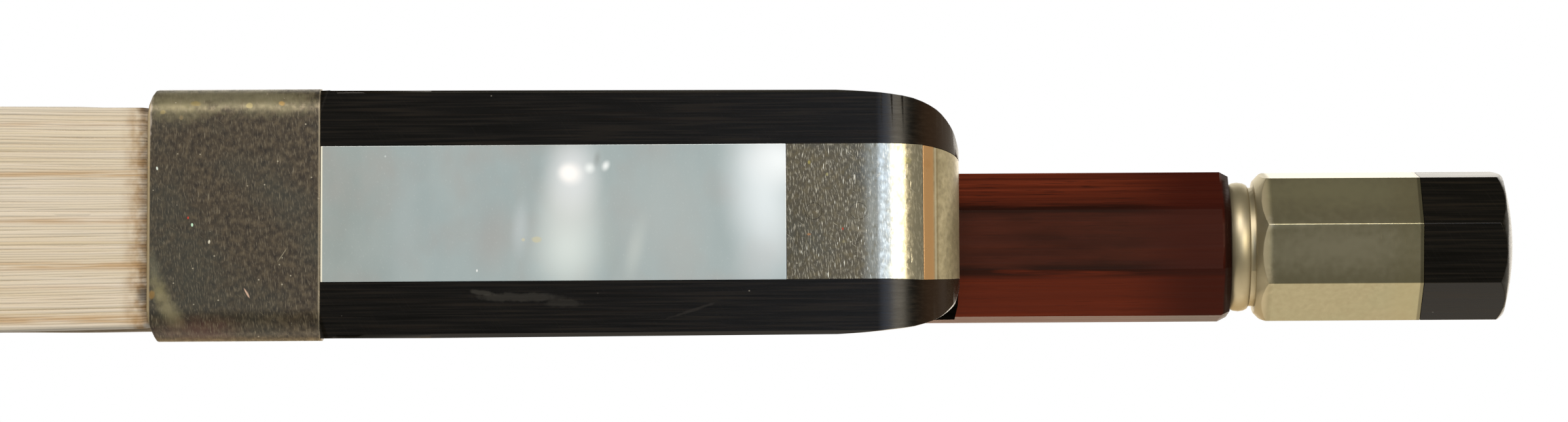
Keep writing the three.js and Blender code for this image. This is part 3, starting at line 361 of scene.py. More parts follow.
def specks(tree, place, spacing, **settings):
    """How far a place lies from the nearest of scattered points, in shares of their spacing."""
    cells = add(tree, "ShaderNodeMapping", {"Vector": place, "Scale": [spacing * MM] * 3},
                vector_type="TEXTURE")
    return add(tree, "ShaderNodeTexVoronoi", {"Vector": cells, "Scale": 1.0}, **settings)


# Ebony, oiled and burnished by hand: black with a low even shine; fine brown grain runs the length
# of a piece and the last polishing strokes cross it.
def ebony_finish(name, marks=(), brown_end=None, dull_above=None, streaks=0.35):
    """Ebony with its own marks, a browner heel and walls that are dull above a height."""
    material, tree, shader, coordinates = start_material(
        name, 0.27, Specular_IOR_Level=ebony_gloss)
    place = coordinates.outputs["Object"]
    fibre = grain(tree, place, (7, 0.16, 0.3), detail=4)
    wood = add(tree, "ShaderNodeValToRGB", {0: fibre}, stops=[
        (0.0, linear("#080704")), (0.5, linear("#0e0c08")), (1.0, linear("#1b160e"))])
    streak = grain(tree, place, (14, 0.22, 0.4), detail=3, low=0.56, high=0.75)
    wood = lay(tree, times(tree, streak, streaks), wood, linear("#251c13"))
    stroke = grain(tree, place, (3.5, 0.07, 1), turn=58, detail=1, low=0.6, high=0.75)
    wood = lay(tree, times(tree, stroke, 0.06), wood, linear("#3b352c"))
    speck = window(tree, specks(tree, place, 1.5), 0.04, 0.02, 0.6)
    wood = lay(tree, speck, wood, linear("#8f8a80"))
    x, y, z = add(tree, "ShaderNodeSeparateXYZ", {0: place}).node.outputs
    if brown_end:
        brown = times(tree, window(tree, x, brown_end * MM, (brown_end + 1.5) * MM, 0.55),
                      window(tree, z, brown_gone * MM, brown_full * MM))
        wood = lay(tree, brown, wood, linear("#3a2a1d"))
    wood = lay_marks(tree, place, wood, marks)
    tree.links.new(wood, shader.inputs["Base Color"])
    if dull_above:
        corner = window(tree, x, dull_start * MM, dull_end * MM, dull_lift * MM)
        height = add(tree, "ShaderNodeMath", {0: z, 1: corner}, operation="ADD")
        dull = window(tree, height, dull_above * MM, (dull_above + 2) * MM)
        gloss = add(tree, "ShaderNodeMapRange", {
            "Value": dull, "To Min": ebony_gloss, "To Max": 0.0})
        tree.links.new(gloss, shader.inputs["Specular IOR Level"])
    rough = add(tree, "ShaderNodeMapRange", {"Value": fibre, "To Min": 0.23, "To Max": 0.31})
    tree.links.new(rough, shader.inputs["Roughness"])
    relief(tree, shader, fibre, 0.002)
    return material


def lay_marks(tree, place, colour, marks, ragged=1.0, outer=1.5, inner=1.0):
    """Lays worn and stained places, and places of painted light, over a colour: x, y and half sizes
    in mm, turn, colour, cover.
    """
    rough = add(tree, "ShaderNodeMapping", {
        "Vector": place, "Scale": [mark_roughness * MM] * 3}, vector_type="TEXTURE")
    rough = add(tree, "ShaderNodeTexNoise", {"Vector": rough, "Scale": 1.0, "Detail": 3.0})
    rough = times(tree, rough, ragged)
    for x, y, long, wide, turn, code, strength in marks:
        spot = add(tree, "ShaderNodeMapping", {
            "Vector": place, "Location": (x * MM, y * MM, 0),
            "Rotation": (0, 0, math.radians(turn)), "Scale": (long * MM, wide * MM, 1)},
            vector_type="TEXTURE")
        reach = add(tree, "ShaderNodeVectorMath", {0: spot}, 1, operation="LENGTH")
        uneven = add(tree, "ShaderNodeMath", {0: reach, 1: rough}, operation="ADD")
        cover = window(tree, uneven, outer, inner, strength)
        colour = lay(tree, cover, colour, linear(code))
    return colour


liner_ebony = ebony_finish("ebony, head liner")
shape = node_copy("head_liner")
ease(shape, sharp_edges(shape), liner_ease)
liner = finish_piece("head_liner_ebony", shape, liner_ebony)
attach(liner, "stick")
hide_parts("head_liner")

# Head plate: a plate of bone glued over the liner, which takes the knocks. It follows the head's
# outline, and its rim is rounded with a file.
plate_ease = 0.18 * MM
# polished bone: cream, with pale growth lines and small brown pits
bone, tree, shader, coordinates = start_material("bone, polished", 0.32)
place = coordinates.outputs["Object"]
growth = grain(tree, place, (5, 0.25, 0.5), detail=3)
face = add(tree, "ShaderNodeValToRGB", {0: growth}, stops=[
    (0.0, linear("#d8cba9")), (0.4, linear("#e6dcc3")), (1.0, linear("#efe8d6"))])
pits = grain(tree, place, (0.5, 0.08, 0.08), detail=1, low=0.66, high=0.72)
face = lay(tree, times(tree, pits, 0.5), face, linear("#9a8358"))
tree.links.new(face, shader.inputs["Base Color"])
relief(tree, shader, pits, -0.01)
shape = node_copy("head_plate")
ease(shape, sharp_edges(shape), plate_ease, 3)
plate = finish_piece("head_plate_bone", shape, bone)
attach(plate, "stick")
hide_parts("head_plate")

# Winding: silver wire, wound close over the handle in one unbroken helix, so that the hand doesn't
# wear the wood. It follows the stick's eight flats and its slight bend.
stick_length, handle_flats = 697.6, 9.8
stick_taper = [(0, 1), (0.12, 1), (0.25, 0.955), (0.45, 0.905)]
camber_start, camber_run, camber_low, camber_high = 100.0, 567.6, 4.6, 22.6
butt = 339.1
corner_reach, radius = 1.06, 5.0
wire, wire_share, wire_lift = 0.36, 0.49, 0.05
wire_sides, turn_steps = 5, 16


def stick_at(x):
    """Half the stick's flats and the height of its axis at a place along the handle, in mm."""
    distance = butt - x
    share = distance / stick_length
    for (a, from_), (b, to) in zip(stick_taper, stick_taper[1:]):
        if share <= b:
            break
    flats = handle_flats * (from_ + (to - from_) * (share - a) / (b - a))
    t = max(0.0, (distance - camber_start) / camber_run)
    height = (axis_height * (1 - t) ** 3 + 3 * axis_height * t * (1 - t) ** 2
              + 3 * camber_low * t * t * (1 - t) + camber_high * t ** 3)
    return flats / 2, height


def wrap(shape, radius, growth):
    """Moves a round shape, made about the X axis with a radius, onto the stick's eight flats."""
    for vertex in shape.verts:
        x = vertex.co.x / MM
        half, height = stick_at(x)
        angle = math.atan2(vertex.co.z, vertex.co.y)
        from_flat = (angle + math.pi / 8) % (math.pi / 4) - math.pi / 8
        reach = (half + growth) * min(1 / math.cos(from_flat), corner_reach)
        off = math.hypot(vertex.co.y, vertex.co.z) / MM - radius + reach
        vertex.co = Vector((x, math.cos(angle) * off, math.sin(angle) * off + height)) * MM


low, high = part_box("winding")
turns = round((high.x - low.x) / MM / wire) - 1
shape = bmesh.new()
section = bmesh.ops.create_circle(shape, cap_ends=False, segments=wire_sides,
                                  radius=wire * wire_share * MM,
                                  matrix=Matrix.Rotation(math.pi / 2, 4, "X"))["verts"]
bmesh.ops.translate(shape, verts=section, vec=(low.x + wire / 2 * MM, 0, radius * MM))
bmesh.ops.spin(shape, geom=section + shape.edges[:], cent=(0, 0, 0), axis=(1, 0, 0),
               angle=math.tau, steps=turn_steps, dvec=(wire * MM / turn_steps, 0, 0),
               use_duplicate=False)
one_turn = bpy.data.meshes.new("one turn")
shape.to_mesh(one_turn)
shape.clear()
for _ in range(turns):
    shape.from_mesh(one_turn)
    one_turn.transform(Matrix.Translation((wire * MM, 0, 0)))
bpy.data.meshes.remove(one_turn)
bmesh.ops.remove_doubles(shape, verts=shape.verts, dist=0.001 * MM)
wrap(shape, radius, wire_lift + wire / 2)
# drawn wire, burnished by the hand: lighter and darker in patches, and darker on the flanks where
# its turns meet
silver_wire, tree, shader, coordinates = start_material(
    "silver wire, drawn and burnished", 0.3, 0.9)
place = coordinates.outputs["Object"]
dull = grain(tree, place, (6, 3, 3), detail=3)
tone = lay(tree, dull, linear("#8d887b"), linear("#bdb9ad"))
facing = add(tree, "ShaderNodeSeparateXYZ", {0: coordinates.outputs["Normal"]})
between = add(tree, "ShaderNodeMath", {0: facing}, operation="ABSOLUTE")
tone = lay(tree, window(tree, between, 0.35, 0.9, 0.8), tone, linear("#3d382f"))
tree.links.new(tone, shader.inputs["Base Color"])
rough = add(tree, "ShaderNodeMapRange", {"Value": dull, "To Min": 0.4, "To Max": 0.24})
tree.links.new(rough, shader.inputs["Roughness"])
winding = finish_piece("winding_wire", shape, silver_wire, 80)
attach(winding, "stick")
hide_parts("winding")

# Thumb leather: goatskin glued round the stick in front of the winding, where the thumb bears. Its
# ends are pared thin, its edges butted at the back of the stick, and the hair side is thin.
leather_thickness, leather_end, leather_skive = 0.85, 0.3, 3.0
leather_hair_side, hair_side_turn, hair_side_rise = 0.16, 0.2, 0.7
seam_angle, seam_width, seam_depth = math.radians(84), 0.07, 0.16
ripple, ripple_count, ripple_run = 0.02, 5, 0.6
leather_rings, leather_sides, leather_gap, leather_lift = 40, 48, 0.02, 0.055
pebble_size = 0.55
low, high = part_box("thumb_leather")
shape = bmesh.new()
start, end = low.x / MM + leather_gap, high.x / MM - leather_gap
ring = bmesh.ops.create_circle(shape, cap_ends=False, segments=leather_sides, radius=radius * MM,
                               matrix=Matrix.Rotation(math.pi / 2, 4, "Y"))["verts"]
bmesh.ops.translate(shape, verts=ring, vec=(start * MM, 0, 0))
edges = shape.edges[:]
for _ in range(leather_rings):
    grown = bmesh.ops.extrude_edge_only(shape, edges=edges)["geom"]
    bmesh.ops.translate(shape, verts=[v for v in grown if isinstance(v, bmesh.types.BMVert)],
                        vec=((end - start) / leather_rings * MM, 0, 0))
    edges = [e for e in grown if isinstance(e, bmesh.types.BMEdge)]
outer = shape.verts[:]
inner = bmesh.ops.duplicate(shape, geom=shape.verts[:] + shape.edges[:] + shape.faces[:])["geom"]
inner_faces = [f for f in inner if isinstance(f, bmesh.types.BMFace)]
for vertex in outer:
    x = vertex.co.x / MM
    from_end = min(x - start, end - x)
    skive = min(1.0, max(0.0, from_end) / leather_skive) ** 0.5
    full = leather_thickness * (leather_end + (1 - leather_end) * skive)
    angle = math.atan2(vertex.co.z, vertex.co.y)
    back_side = max(0.0, math.sin(angle) - hair_side_turn) ** hair_side_rise
    full *= leather_hair_side + (1 - leather_hair_side) * back_side
    seam = abs((angle - seam_angle + math.pi) % math.tau - math.pi)
    full -= seam_depth * math.exp(-(seam / seam_width) ** 2)
    full += ripple * math.sin(ripple_count * angle + x * ripple_run) * min(1, max(0.0, from_end))
    lift = 1 + full / radius
    vertex.co.y *= lift
    vertex.co.z *= lift
bmesh.ops.reverse_faces(shape, faces=inner_faces)
open_edges = [e for e in shape.edges if e.is_boundary]
for side in (start, end):
    rim = [e for e in open_edges if all(abs(v.co.x / MM - side) < 0.001 for v in e.verts)]
    bmesh.ops.bridge_loops(shape, edges=rim)
wrap(shape, radius, leather_lift)
# dyed goatskin: a dull dark brown with a fine pebbled grain
goat_leather, tree, shader, coordinates = start_material(
    "goatskin, dyed dark brown", 0.55, Specular_IOR_Level=0.35)
place = coordinates.outputs["Object"]
pebble = specks(tree, place, pebble_size, feature="SMOOTH_F1")
patch = grain(tree, place, (6, 3, 3), detail=4)
hide = lay(tree, patch, linear("#23170f"), linear("#3a281c"))
hide = lay(tree, times(tree, pebble, 0.6), hide, linear("#150d08"))
tree.links.new(hide, shader.inputs["Base Color"])
relief(tree, shader, pebble, -0.06)
leather = finish_piece("thumb_leather_wrap", shape, goat_leather, 50)
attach(leather, "stick")
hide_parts("thumb_leather")

# Frog: ebony, its cheeks hollowed, its throat filed round for the thumb, and its face left flat
# where the slide runs. The scuff lies between the slide and the far cheek.
frog_marks = [
    (291.8, 5.5, 3.4, 0.36, 0, "#35332e", 0.55), (289.4, 5.2, 1.0, 0.2, 8, "#3f3d37", 0.5),
    (294.6, 5.9, 1.6, 0.3, 0, "#302e29", 0.45), (303.0, 6.4, 2.0, 0.12, -18, "#2d2a25", 0.5)]
frog_ease, frog_brown_end, frog_dull_above = 0.07 * MM, 317.0, 12.0
# the foot's front corners are filed square right up to the ferrule
foot_end, foot_wide, foot_low, foot_side = 279.6, 6.5, 1.8, 8.1
# behind the ferrule the far side is narrowed, more so higher up, to be level with it in the picture
collar_end, collar_low, collar_side, collar_lean = 282.5, 0.5, 8.12, 0.122
# and the walls beside the stick are filed thin at the back
back_end, wall_low, wall_side, wall_share = 319.9, 12.0, 5.1, 0.15
frog_ebony = ebony_finish("ebony, oiled", frog_marks, frog_brown_end, frog_dull_above)
shape = node_copy("frog_body", 0.5)
for vertex in shape.verts:
    x, y, z = vertex.co / MM
    if x < foot_end and abs(y) > foot_wide and z < foot_low:
        vertex.co.y = math.copysign(foot_side * MM, y)
    if x < collar_end and z > collar_low:
        vertex.co.y = min(vertex.co.y, (collar_side - collar_lean * z) * MM)
    if x > back_end and z > wall_low and abs(y) > wall_side:
        vertex.co.y = math.copysign(wall_side + wall_share * (abs(y) - wall_side), y) * MM
ease(shape, sharp_edges(shape, 40), frog_ease)
frog_wood = finish_piece("frog_wood", shape, frog_ebony, 32)
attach(frog_wood, "frog")
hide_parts("frog_body")

# Underslide: a strip of silver bent to three flats and screwed into the frog's channel, which bears
# on the stick, its edges broken with a file.
lining_ease = 0.03 * MM


def lay_bands(tree, place, colour, bands):
    """Lays bands over a colour: start and end along the bow, softness in mm, colour, cover."""
    x = add(tree, "ShaderNodeSeparateXYZ", {0: place})
    for start, end, soft, code, strength in bands:
        rise = window(tree, x, (start - soft) * MM, (start + soft) * MM)
        fall = window(tree, x, (end + soft) * MM, (end - soft) * MM, strength)
        colour = lay(tree, times(tree, rise, fall), colour, linear(code))
    return colour


# Old silver: drawn or rolled sheet, soldered and filed, gone brown-grey with tarnish, rubbed
# brighter on edges and covered with short handling scratches.
def old_silver(name, dark, middle, light, fleck, marks=(), bands=(), wear_and_painted_light=(), metal=0.5,
               roughness=0.36, across=84, flecks=0.5, dense=0.55, stain="#3b3f37",
               frosted=None):
    """Old silver in three tones, with flecks, wear, marks and bands, some of them painted light,
    and frosted before a place.
    """
    material, tree, shader, coordinates = start_material(name, roughness, metal)
    place = coordinates.outputs["Object"]
    mottle = grain(tree, place, (0.36, 0.44, 0.44), turn=12, detail=6)
    tone = add(tree, "ShaderNodeValToRGB", {0: mottle}, stops=[
        (0.0, linear(dark)), (0.5, linear(middle)), (1.0, linear(light))])
    cloud = grain(tree, place, (5, 4, 4), detail=3, low=0.48, high=0.7)
    tone = lay(tree, times(tree, cloud, 0.45), tone, linear(stain))
    tone = lay_marks(tree, place, tone, wear_and_painted_light, 1.3, 2.1, 0.7)
    fine = grain(tree, place, (0.4, 0.08, 1), turn=across, low=dense, high=dense + 0.17)
    bold = grain(tree, place, (0.8, 0.11, 1), turn=across + 7, detail=1, low=0.68, high=0.76)
    slant = grain(tree, place, (0.9, 0.05, 1), turn=across - 47, detail=1, low=0.72, high=0.78)
    tone = lay(tree, times(tree, fine, flecks * 0.6), tone, linear(fleck))
    tone = lay(tree, times(tree, bold, flecks), tone, linear(fleck))
    tone = lay(tree, times(tree, slant, flecks * 0.6), tone, linear(fleck))
    speck = window(tree, specks(tree, place, 0.9), 0.08, 0.04, flecks)
    tone = lay(tree, speck, tone, linear("#b9b19a"))
    tone = lay_marks(tree, place, tone, marks)
    tone = lay_bands(tree, place, tone, bands)
    tree.links.new(tone, shader.inputs["Base Color"])
    rough = add(tree, "ShaderNodeMapRange", {
        "Value": mottle, "To Min": roughness + 0.1 * flecks, "To Max": roughness - 0.1 * flecks})
    if frosted:
        x = add(tree, "ShaderNodeSeparateXYZ", {0: place})
        before = window(tree, x, (frosted + 0.4) * MM, frosted * MM, 0.2)
        rough = add(tree, "ShaderNodeMath", {0: rough, 1: before}, operation="ADD")
    tree.links.new(rough, shader.inputs["Roughness"])
    relief(tree, shader, bold, -0.002)
    return material


lining_silver = old_silver("silver, underslide", "#8b867a", "#a8a396", "#bab5a8", "#cbc6b8",
                           across=2, metal=0.85, roughness=0.3, stain="#6f6a5d")
shape = node_copy("underslide")
ease(shape, sharp_edges(shape), lining_ease, 1)
lining = finish_piece("underslide_silver", shape, lining_silver)
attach(lining, "frog")
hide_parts("underslide")


# Steel screws: two with slotted heads hold the underslide, and the long one, driven into the
# button, draws the frog. They are turned on a lathe and oiled.
def dress(nodes, material):
    """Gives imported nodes, whose meshes stay as they are, a material."""
    for node in nodes:
        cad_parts[node].data.materials.clear()
        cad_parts[node].data.materials.append(material)


# turned steel: grey, with fine lathe lines and a little rust
screw_steel, tree, shader, coordinates = start_material("steel, turned and oiled", 0.34, 0.9)
place = coordinates.outputs["Object"]
lathe = grain(tree, place, (0.07, 4, 4))
tone = lay(tree, lathe, linear("#77756f"), linear("#9a9892"))
rust = grain(tree, place, (1.2, 1.2, 1.2), detail=4, low=0.6, high=0.75)
tone = lay(tree, times(tree, rust, 0.5), tone, linear("#5a4232"))
tree.links.new(tone, shader.inputs["Base Color"])
relief(tree, shader, lathe, 0.01)
dress(("underslide_screw_front", "underslide_screw_rear", "screw"), screw_steel)

# Heel plates: two pieces of silver sheet let in flush, one under the heel and bent up round its
# corner, the other up its back, each held by turned pins that are filed level.
heel_wear = [
    (314.3, 0.2, 1.4, 1.1, 0, "#857e69", 0.5), (314.7, -3.0, 1.2, 1.5, 0, "#6c7170", 0.45),
    (316.0, 3.9, 0.6, 0.5, 0, "#c7bd98", 0.6), (309.8, 1.0, 0.9, 3.4, 0, "#5a5443", 0.5)]
heel_marks = [
    (313.35, 1.0, 0.13, 0.36, -10, "#a59b82", 0.6), (313.9, 1.3, 0.45, 0.1, 10, "#a59b82", 0.55),
    (312.7, 1.15, 0.07, 0.1, 0, "#c84a35", 0.95), (310.55, -3.2, 0.1, 0.16, 0, "#b3a558", 0.8),
    (311.7, -2.4, 0.11, 0.13, 0, "#a39a64", 0.8), (310.5, 1.5, 0.16, 0.09, 0, "#c08c5f", 0.8),
    (312.75, 2.0, 0.1, 0.12, 0, "#b5ab84", 0.8), (316.8, -3.35, 0.42, 0.3, 0, "#97904f", 0.8)]
# painted reflections across the rounded heel: a bluish-white band, a grey one and a cream one
heel_painted_reflections = [(314.2, 315.5, 0.4, "#b4b8af", 0.5), (315.5, 316.05, 0.25, "#858d8c", 0.45),
              (316.0, 318.2, 0.2, "#c2bb9e", 0.45)]
heel_silver = old_silver("tarnished silver with painted reflections, heel plate", "#4c4638", "#69614e", "#8b826a",
                         "#e4dbc0", heel_marks, heel_painted_reflections, heel_wear, metal=0.6,
                         roughness=0.2, flecks=1.0, dense=0.53, stain="#555a55")
shape = node_copy("heel_plate", 0.5)
heel = finish_piece("heel_plate_silver", shape, heel_silver, 32)
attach(heel, "frog")
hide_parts("heel_plate")

back_ease = 0.05 * MM
back_marks = [(318.25, -3.2, 0.36, 0.34, 0, "#5a4526", 0.85)]
# painted reflections on the back plate: a copper band, then a pale and a dark line
back_painted_reflections = [(317.8, 318.65, 0.1, "#cf9f68", 0.9), (318.72, 318.8, 0.05, "#d8cfb0", 0.7),
              (318.85, 318.92, 0.04, "#8a7650", 0.6)]
back_silver = old_silver("worn silver with painted reflections, heel back plate", "#9d9172", "#b3a682", "#c5b893",
                         "#cdc3a6", back_marks, back_painted_reflections, roughness=0.3, flecks=0.3,
                         stain="#857a5c")
shape = node_copy("heel_back_plate")
ease(shape, sharp_edges(shape), back_ease)
back = finish_piece("heel_back_silver", shape, back_silver, 32)
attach(back, "frog")
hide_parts("heel_back_plate")

for node, stuff in (("heel_pin_front", heel_silver), ("heel_pin_rear", heel_silver),
                    ("heel_pin_back", back_silver)):
    pin = finish_piece(node + "_silver", node_copy(node), stuff)
    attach(pin, "frog")
    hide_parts(node)

# Slide: a thin plate of mother-of-pearl glued to an ebony tongue that slides in a dovetail, so that
# the frog's mortise can be reached. The nacre's layers are clouded, and painted highlights and a
# painted sheen stand for their flash in bands and spots.
pearl_ease = 0.06 * MM
bluer_start, bluer_end = 279 * MM, 287 * MM


def nacre(name, clouds_and_painted_light=(), marks=(), bands=()):
    """Mother-of-pearl: smooth grey layers, bluer along the bow, with clouds and painted light,
    flecks and marks.
    """
    material, tree, shader, coordinates = start_material(
        name, 0.2, Coat_Weight=0.4, Coat_Roughness=0.08)
    place = coordinates.outputs["Object"]
    x = add(tree, "ShaderNodeSeparateXYZ", {0: place})
    bluer = window(tree, x, bluer_start, bluer_end)
    layers = lay(tree, bluer, linear("#949f9e"), linear("#9cabae"))
    wave = grain(tree, place, (2.2, 4.5, 3), turn=8, detail=3, low=0.35, high=0.65)
    layers = lay(tree, times(tree, wave, 0.22), layers, linear("#b2bdbd"))
    tint = grain(tree, place, (3, 4, 3), turn=-14, detail=3, low=0.45, high=0.7)
    layers = lay(tree, times(tree, tint, 0.3), layers, linear("#a39b97"))
    layers = lay_marks(tree, place, layers, clouds_and_painted_light, 0.0, 1.0, 0.0)
    fleck = grain(tree, place, (0.2, 0.12, 0.3), turn=70, low=0.62, high=0.76)
    layers = lay(tree, times(tree, fleck, 0.15), layers, linear("#d8dedd"))
    layers = lay_marks(tree, place, layers, marks)
    layers = lay_bands(tree, place, layers, bands)
    tree.links.new(layers, shader.inputs["Base Color"])
    relief(tree, shader, wave, 0.006)
    return material


# the nacre's own clouds, and among them painted light: a star of white painted highlights with a
# pale painted sheen round it, and a bluish painted glow near the back
slide_clouds_and_painted_light = [
    (284.3, 0.6, 1.3, 6.0, 4, "#a3b0b3", 0.5), (290.0, 1.6, 2.2, 3.4, 12, "#a39d9a", 0.45),
    (291.8, 1.0, 0.8, 2.6, 4, "#bcc7cc", 0.6), (294.9, 2.2, 3.4, 4.4, 6, "#d4dfde", 0.9),
    (295.0, -0.6, 2.9, 3.2, 0, "#d3d9d9", 0.75), (295.2, -2.6, 2.4, 3.4, 0, "#dee5ea", 0.9),
    (297.6, 2.2, 0.9, 3.0, -3, "#a1adac", 0.5), (299.3, 2.2, 0.8, 2.8, 12, "#c3ccc9", 0.6),
    (301.0, 0.5, 5.0, 6.5, 0, "#acb6b7", 0.6), (307.6, -1.0, 3.4, 7.5, -8, "#dde8ee", 0.95),
    (308.6, -3.4, 3.2, 2.8, 0, "#eef6fb", 0.95), (307.0, 3.6, 2.4, 2.6, 0, "#b9c2c6", 0.5),
    (295.05, -2.55, 1.1, 1.0, 20, "#ffffff", 1.0), (294.9, -2.6, 0.75, 0.7, 20, "#ffffff", 1.0),
    (296.3, -2.9, 0.5, 0.5, 0, "#eef6f8", 0.9), (297.35, -3.05, 0.35, 0.5, 25, "#eef6f8", 0.95),
    (296.8, -3.5, 0.35, 0.8, 8, "#8e9696", 0.6)]
slide_marks = [
    (292.9, 1.75, 0.4, 0.26, 0, "#c6c3a6", 0.7), (292.0, 1.75, 0.16, 0.14, 0, "#c9c6ac", 0.7),
    (289.0, 3.75, 0.07, 0.11, 0, "#e4e9ea", 0.9), (283.05, -3.75, 0.06, 0.08, 0, "#cdd6d6", 0.7)]
# a painted highlight along the slide's front edge
slide_painted_edge_highlight = [(278.8, 278.97, 0.03, "#efecd8", 0.95)]
slide_nacre = nacre("mother-of-pearl with painted highlights, slide", slide_clouds_and_painted_light, slide_marks, slide_painted_edge_highlight)
low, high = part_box("slide_pearl")
shape = bmesh.new()
bmesh.ops.create_cube(shape, size=1)
bmesh.ops.scale(shape, verts=shape.verts, vec=high - low)
bmesh.ops.translate(shape, verts=shape.verts, vec=(low + high) / 2)
ease(shape, shape.edges[:], pearl_ease)
slide_face = finish_piece("slide_face", shape, slide_nacre)
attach(slide_face, "frog")
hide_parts("slide_pearl")

dress(("slide_backing",), ebony_finish("ebony, slide backing"))

# Eyes: a dot of mother-of-pearl inside a silver ring, let into each cheek, glued and polished
# level with the ebony.
eye_ease = 0.05 * MM
eye_nacre = nacre("mother-of-pearl, eyes")
eye_silver = old_silver("silver, eye rings", "#7d776a", "#989181", "#aea797", "#c6c0af",
                        metal=0.85, roughness=0.3, stain="#6a6456")
for side in ("left", "right"):
    for node, stuff, name, slot in (("eye_pearl_" + side, eye_nacre, "_nacre", "mother_of_pearl"),
                                    ("eye_ring_" + side, eye_silver, "_silver", "silver")):
        shape = node_copy(node)
        ease(shape, sharp_edges(shape), eye_ease)
        inlay = finish_piece(node + name, shape, stuff, 40)
        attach(inlay, "frog")
        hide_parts(node)

# Eyelet: brass, turned and filed, screwed up into the frog; its round end is the nut on the screw
# and rides in the stick's slot.
eyelet_ease = 0.08 * MM
# turned brass: yellow, with file lines and dull brown places
brass, tree, shader, coordinates = start_material("brass, turned and filed", 0.3, 0.95)
place = coordinates.outputs["Object"]
file_lines = grain(tree, place, (0.05, 1.5, 1.5))
tone = lay(tree, file_lines, linear("#8d6f38"), linear("#c2a05a"))
dull = grain(tree, place, (1.5, 1.5, 1.5), detail=3, low=0.5, high=0.75)
tone = lay(tree, times(tree, dull, 0.6), tone, linear("#6a5128"))
tree.links.new(tone, shader.inputs["Base Color"])
relief(tree, shader, file_lines, 0.01)
shape = node_copy("eyelet")
ease(shape, sharp_edges(shape), eyelet_ease)
eyelet = finish_piece("eyelet_brass", shape, brass)
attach(eyelet, "frog")
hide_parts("eyelet")

# Button: an ebony core with a silver sleeve driven over it, whose front end is turned to a bead and
# a short cone before the eight flats are filed; the ebony tip is filed with them.
sleeve_ease, tip_ease, bead_end = 0.12 * MM, 0.14 * MM, 341.6
# painted light on the sleeve: a painted glint on the bead, a warm painted light on its low side,
# and the upper and middle flats painted lighter
button_painted_light = [
    (339.9, -1.05, 1.5, 0.9, 0, "#fffaf2", 0.95), (339.9, 2.6, 1.6, 1.3, 0, "#ffe9c4", 0.9),
    (346.5, -3.4, 7.0, 1.5, 0, "#a9a37f", 0.7), (346.5, 0.75, 8.0, 1.8, 0, "#b0a98c", 0.85)]
button_bands = [(339.0, bead_end, 0.3, "#b3a88a", 0.9), (350.2, 352.1, 0.8, "#958c69", 0.35),
                (351.85, 352.2, 0.04, "#4b4630", 0.6)]
button_silver = old_silver("worn silver with painted light, button", "#8e8669", "#918a6d", "#958e71", "#a59b7c",
                           (), button_bands, button_painted_light, metal=0.85, roughness=0.26,
                           flecks=0.06, stain="#8a8a6c", frosted=bead_end)
shape = node_copy("button_sleeve")
ease(shape, sharp_edges(shape, 32), sleeve_ease)
sleeve = finish_piece("button_silver", shape, button_silver, 30)
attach(sleeve, "button")
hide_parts("button_sleeve")

tip_ebony = ebony_finish("ebony, button", streaks=0.08)
shape = node_copy("button_core")
ease(shape, sharp_edges(shape, 32), tip_ease)
tip = finish_piece("button_ebony", shape, tip_ebony, 30)
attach(tip, "button")
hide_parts("button_core")

# Hair knots: the ends of the hair, tied with waxed thread and sealed with rosin; the thread's
# turns show as close ribs.
thread_pitch = 0.35
knot_thread, tree, shader, coordinates = start_material("waxed binding thread", 0.55)
place = coordinates.outputs["Object"]
turns = add(tree, "ShaderNodeMapping", {
    "Vector": place, "Scale": [thread_pitch * MM * math.tau] * 3}, vector_type="TEXTURE")
ribs = add(tree, "ShaderNodeTexWave", {"Vector": turns, "Scale": 1 / math.tau, "Distortion": 0.4},
           1, bands_direction="Y")
thread = lay(tree, ribs, linear("#5a4630"), linear("#a08a66"))
tree.links.new(thread, shader.inputs["Base Color"])
relief(tree, shader, ribs, 0.1)
dress(("head_hair_knot", "frog_hair_knot"), knot_thread)

# Plugs and wedge: small maple blocks, cut dry with a knife so that they hold the hair by
# friction; the cut shows its fibres.
maple, tree, shader, coordinates = start_material("maple, knife cut", 0.62)
place = coordinates.outputs["Object"]
fibre = grain(tree, place, (4, 0.25, 0.25), detail=3)
wood = add(tree, "ShaderNodeValToRGB", {0: fibre}, stops=[
    (0.0, linear("#b3905f")), (0.6, linear("#c9a673")), (1.0, linear("#dcc096"))])
tree.links.new(wood, shader.inputs["Base Color"])
relief(tree, shader, fibre, 0.02)
dress(("head_plug", "frog_plug", "spread_wedge"), maple)

# Hair: bleached horse tail hairs combed into a flat ribbon, some of them amber, with rosin along it
# and brown hand dirt where the ferrule grips it. It is made of about 350 strands, which are thicker
# than real hairs, so that they show.
hair_width, half_ribbon = 0.32, 0.13
hair_layers, hairs_across = 4, 88
hair_seed, hair_wander = 7, 0.05
ribbon_share, side_play, layer_play, rise_play = 0.985, 0.45, 0.3, 0.25
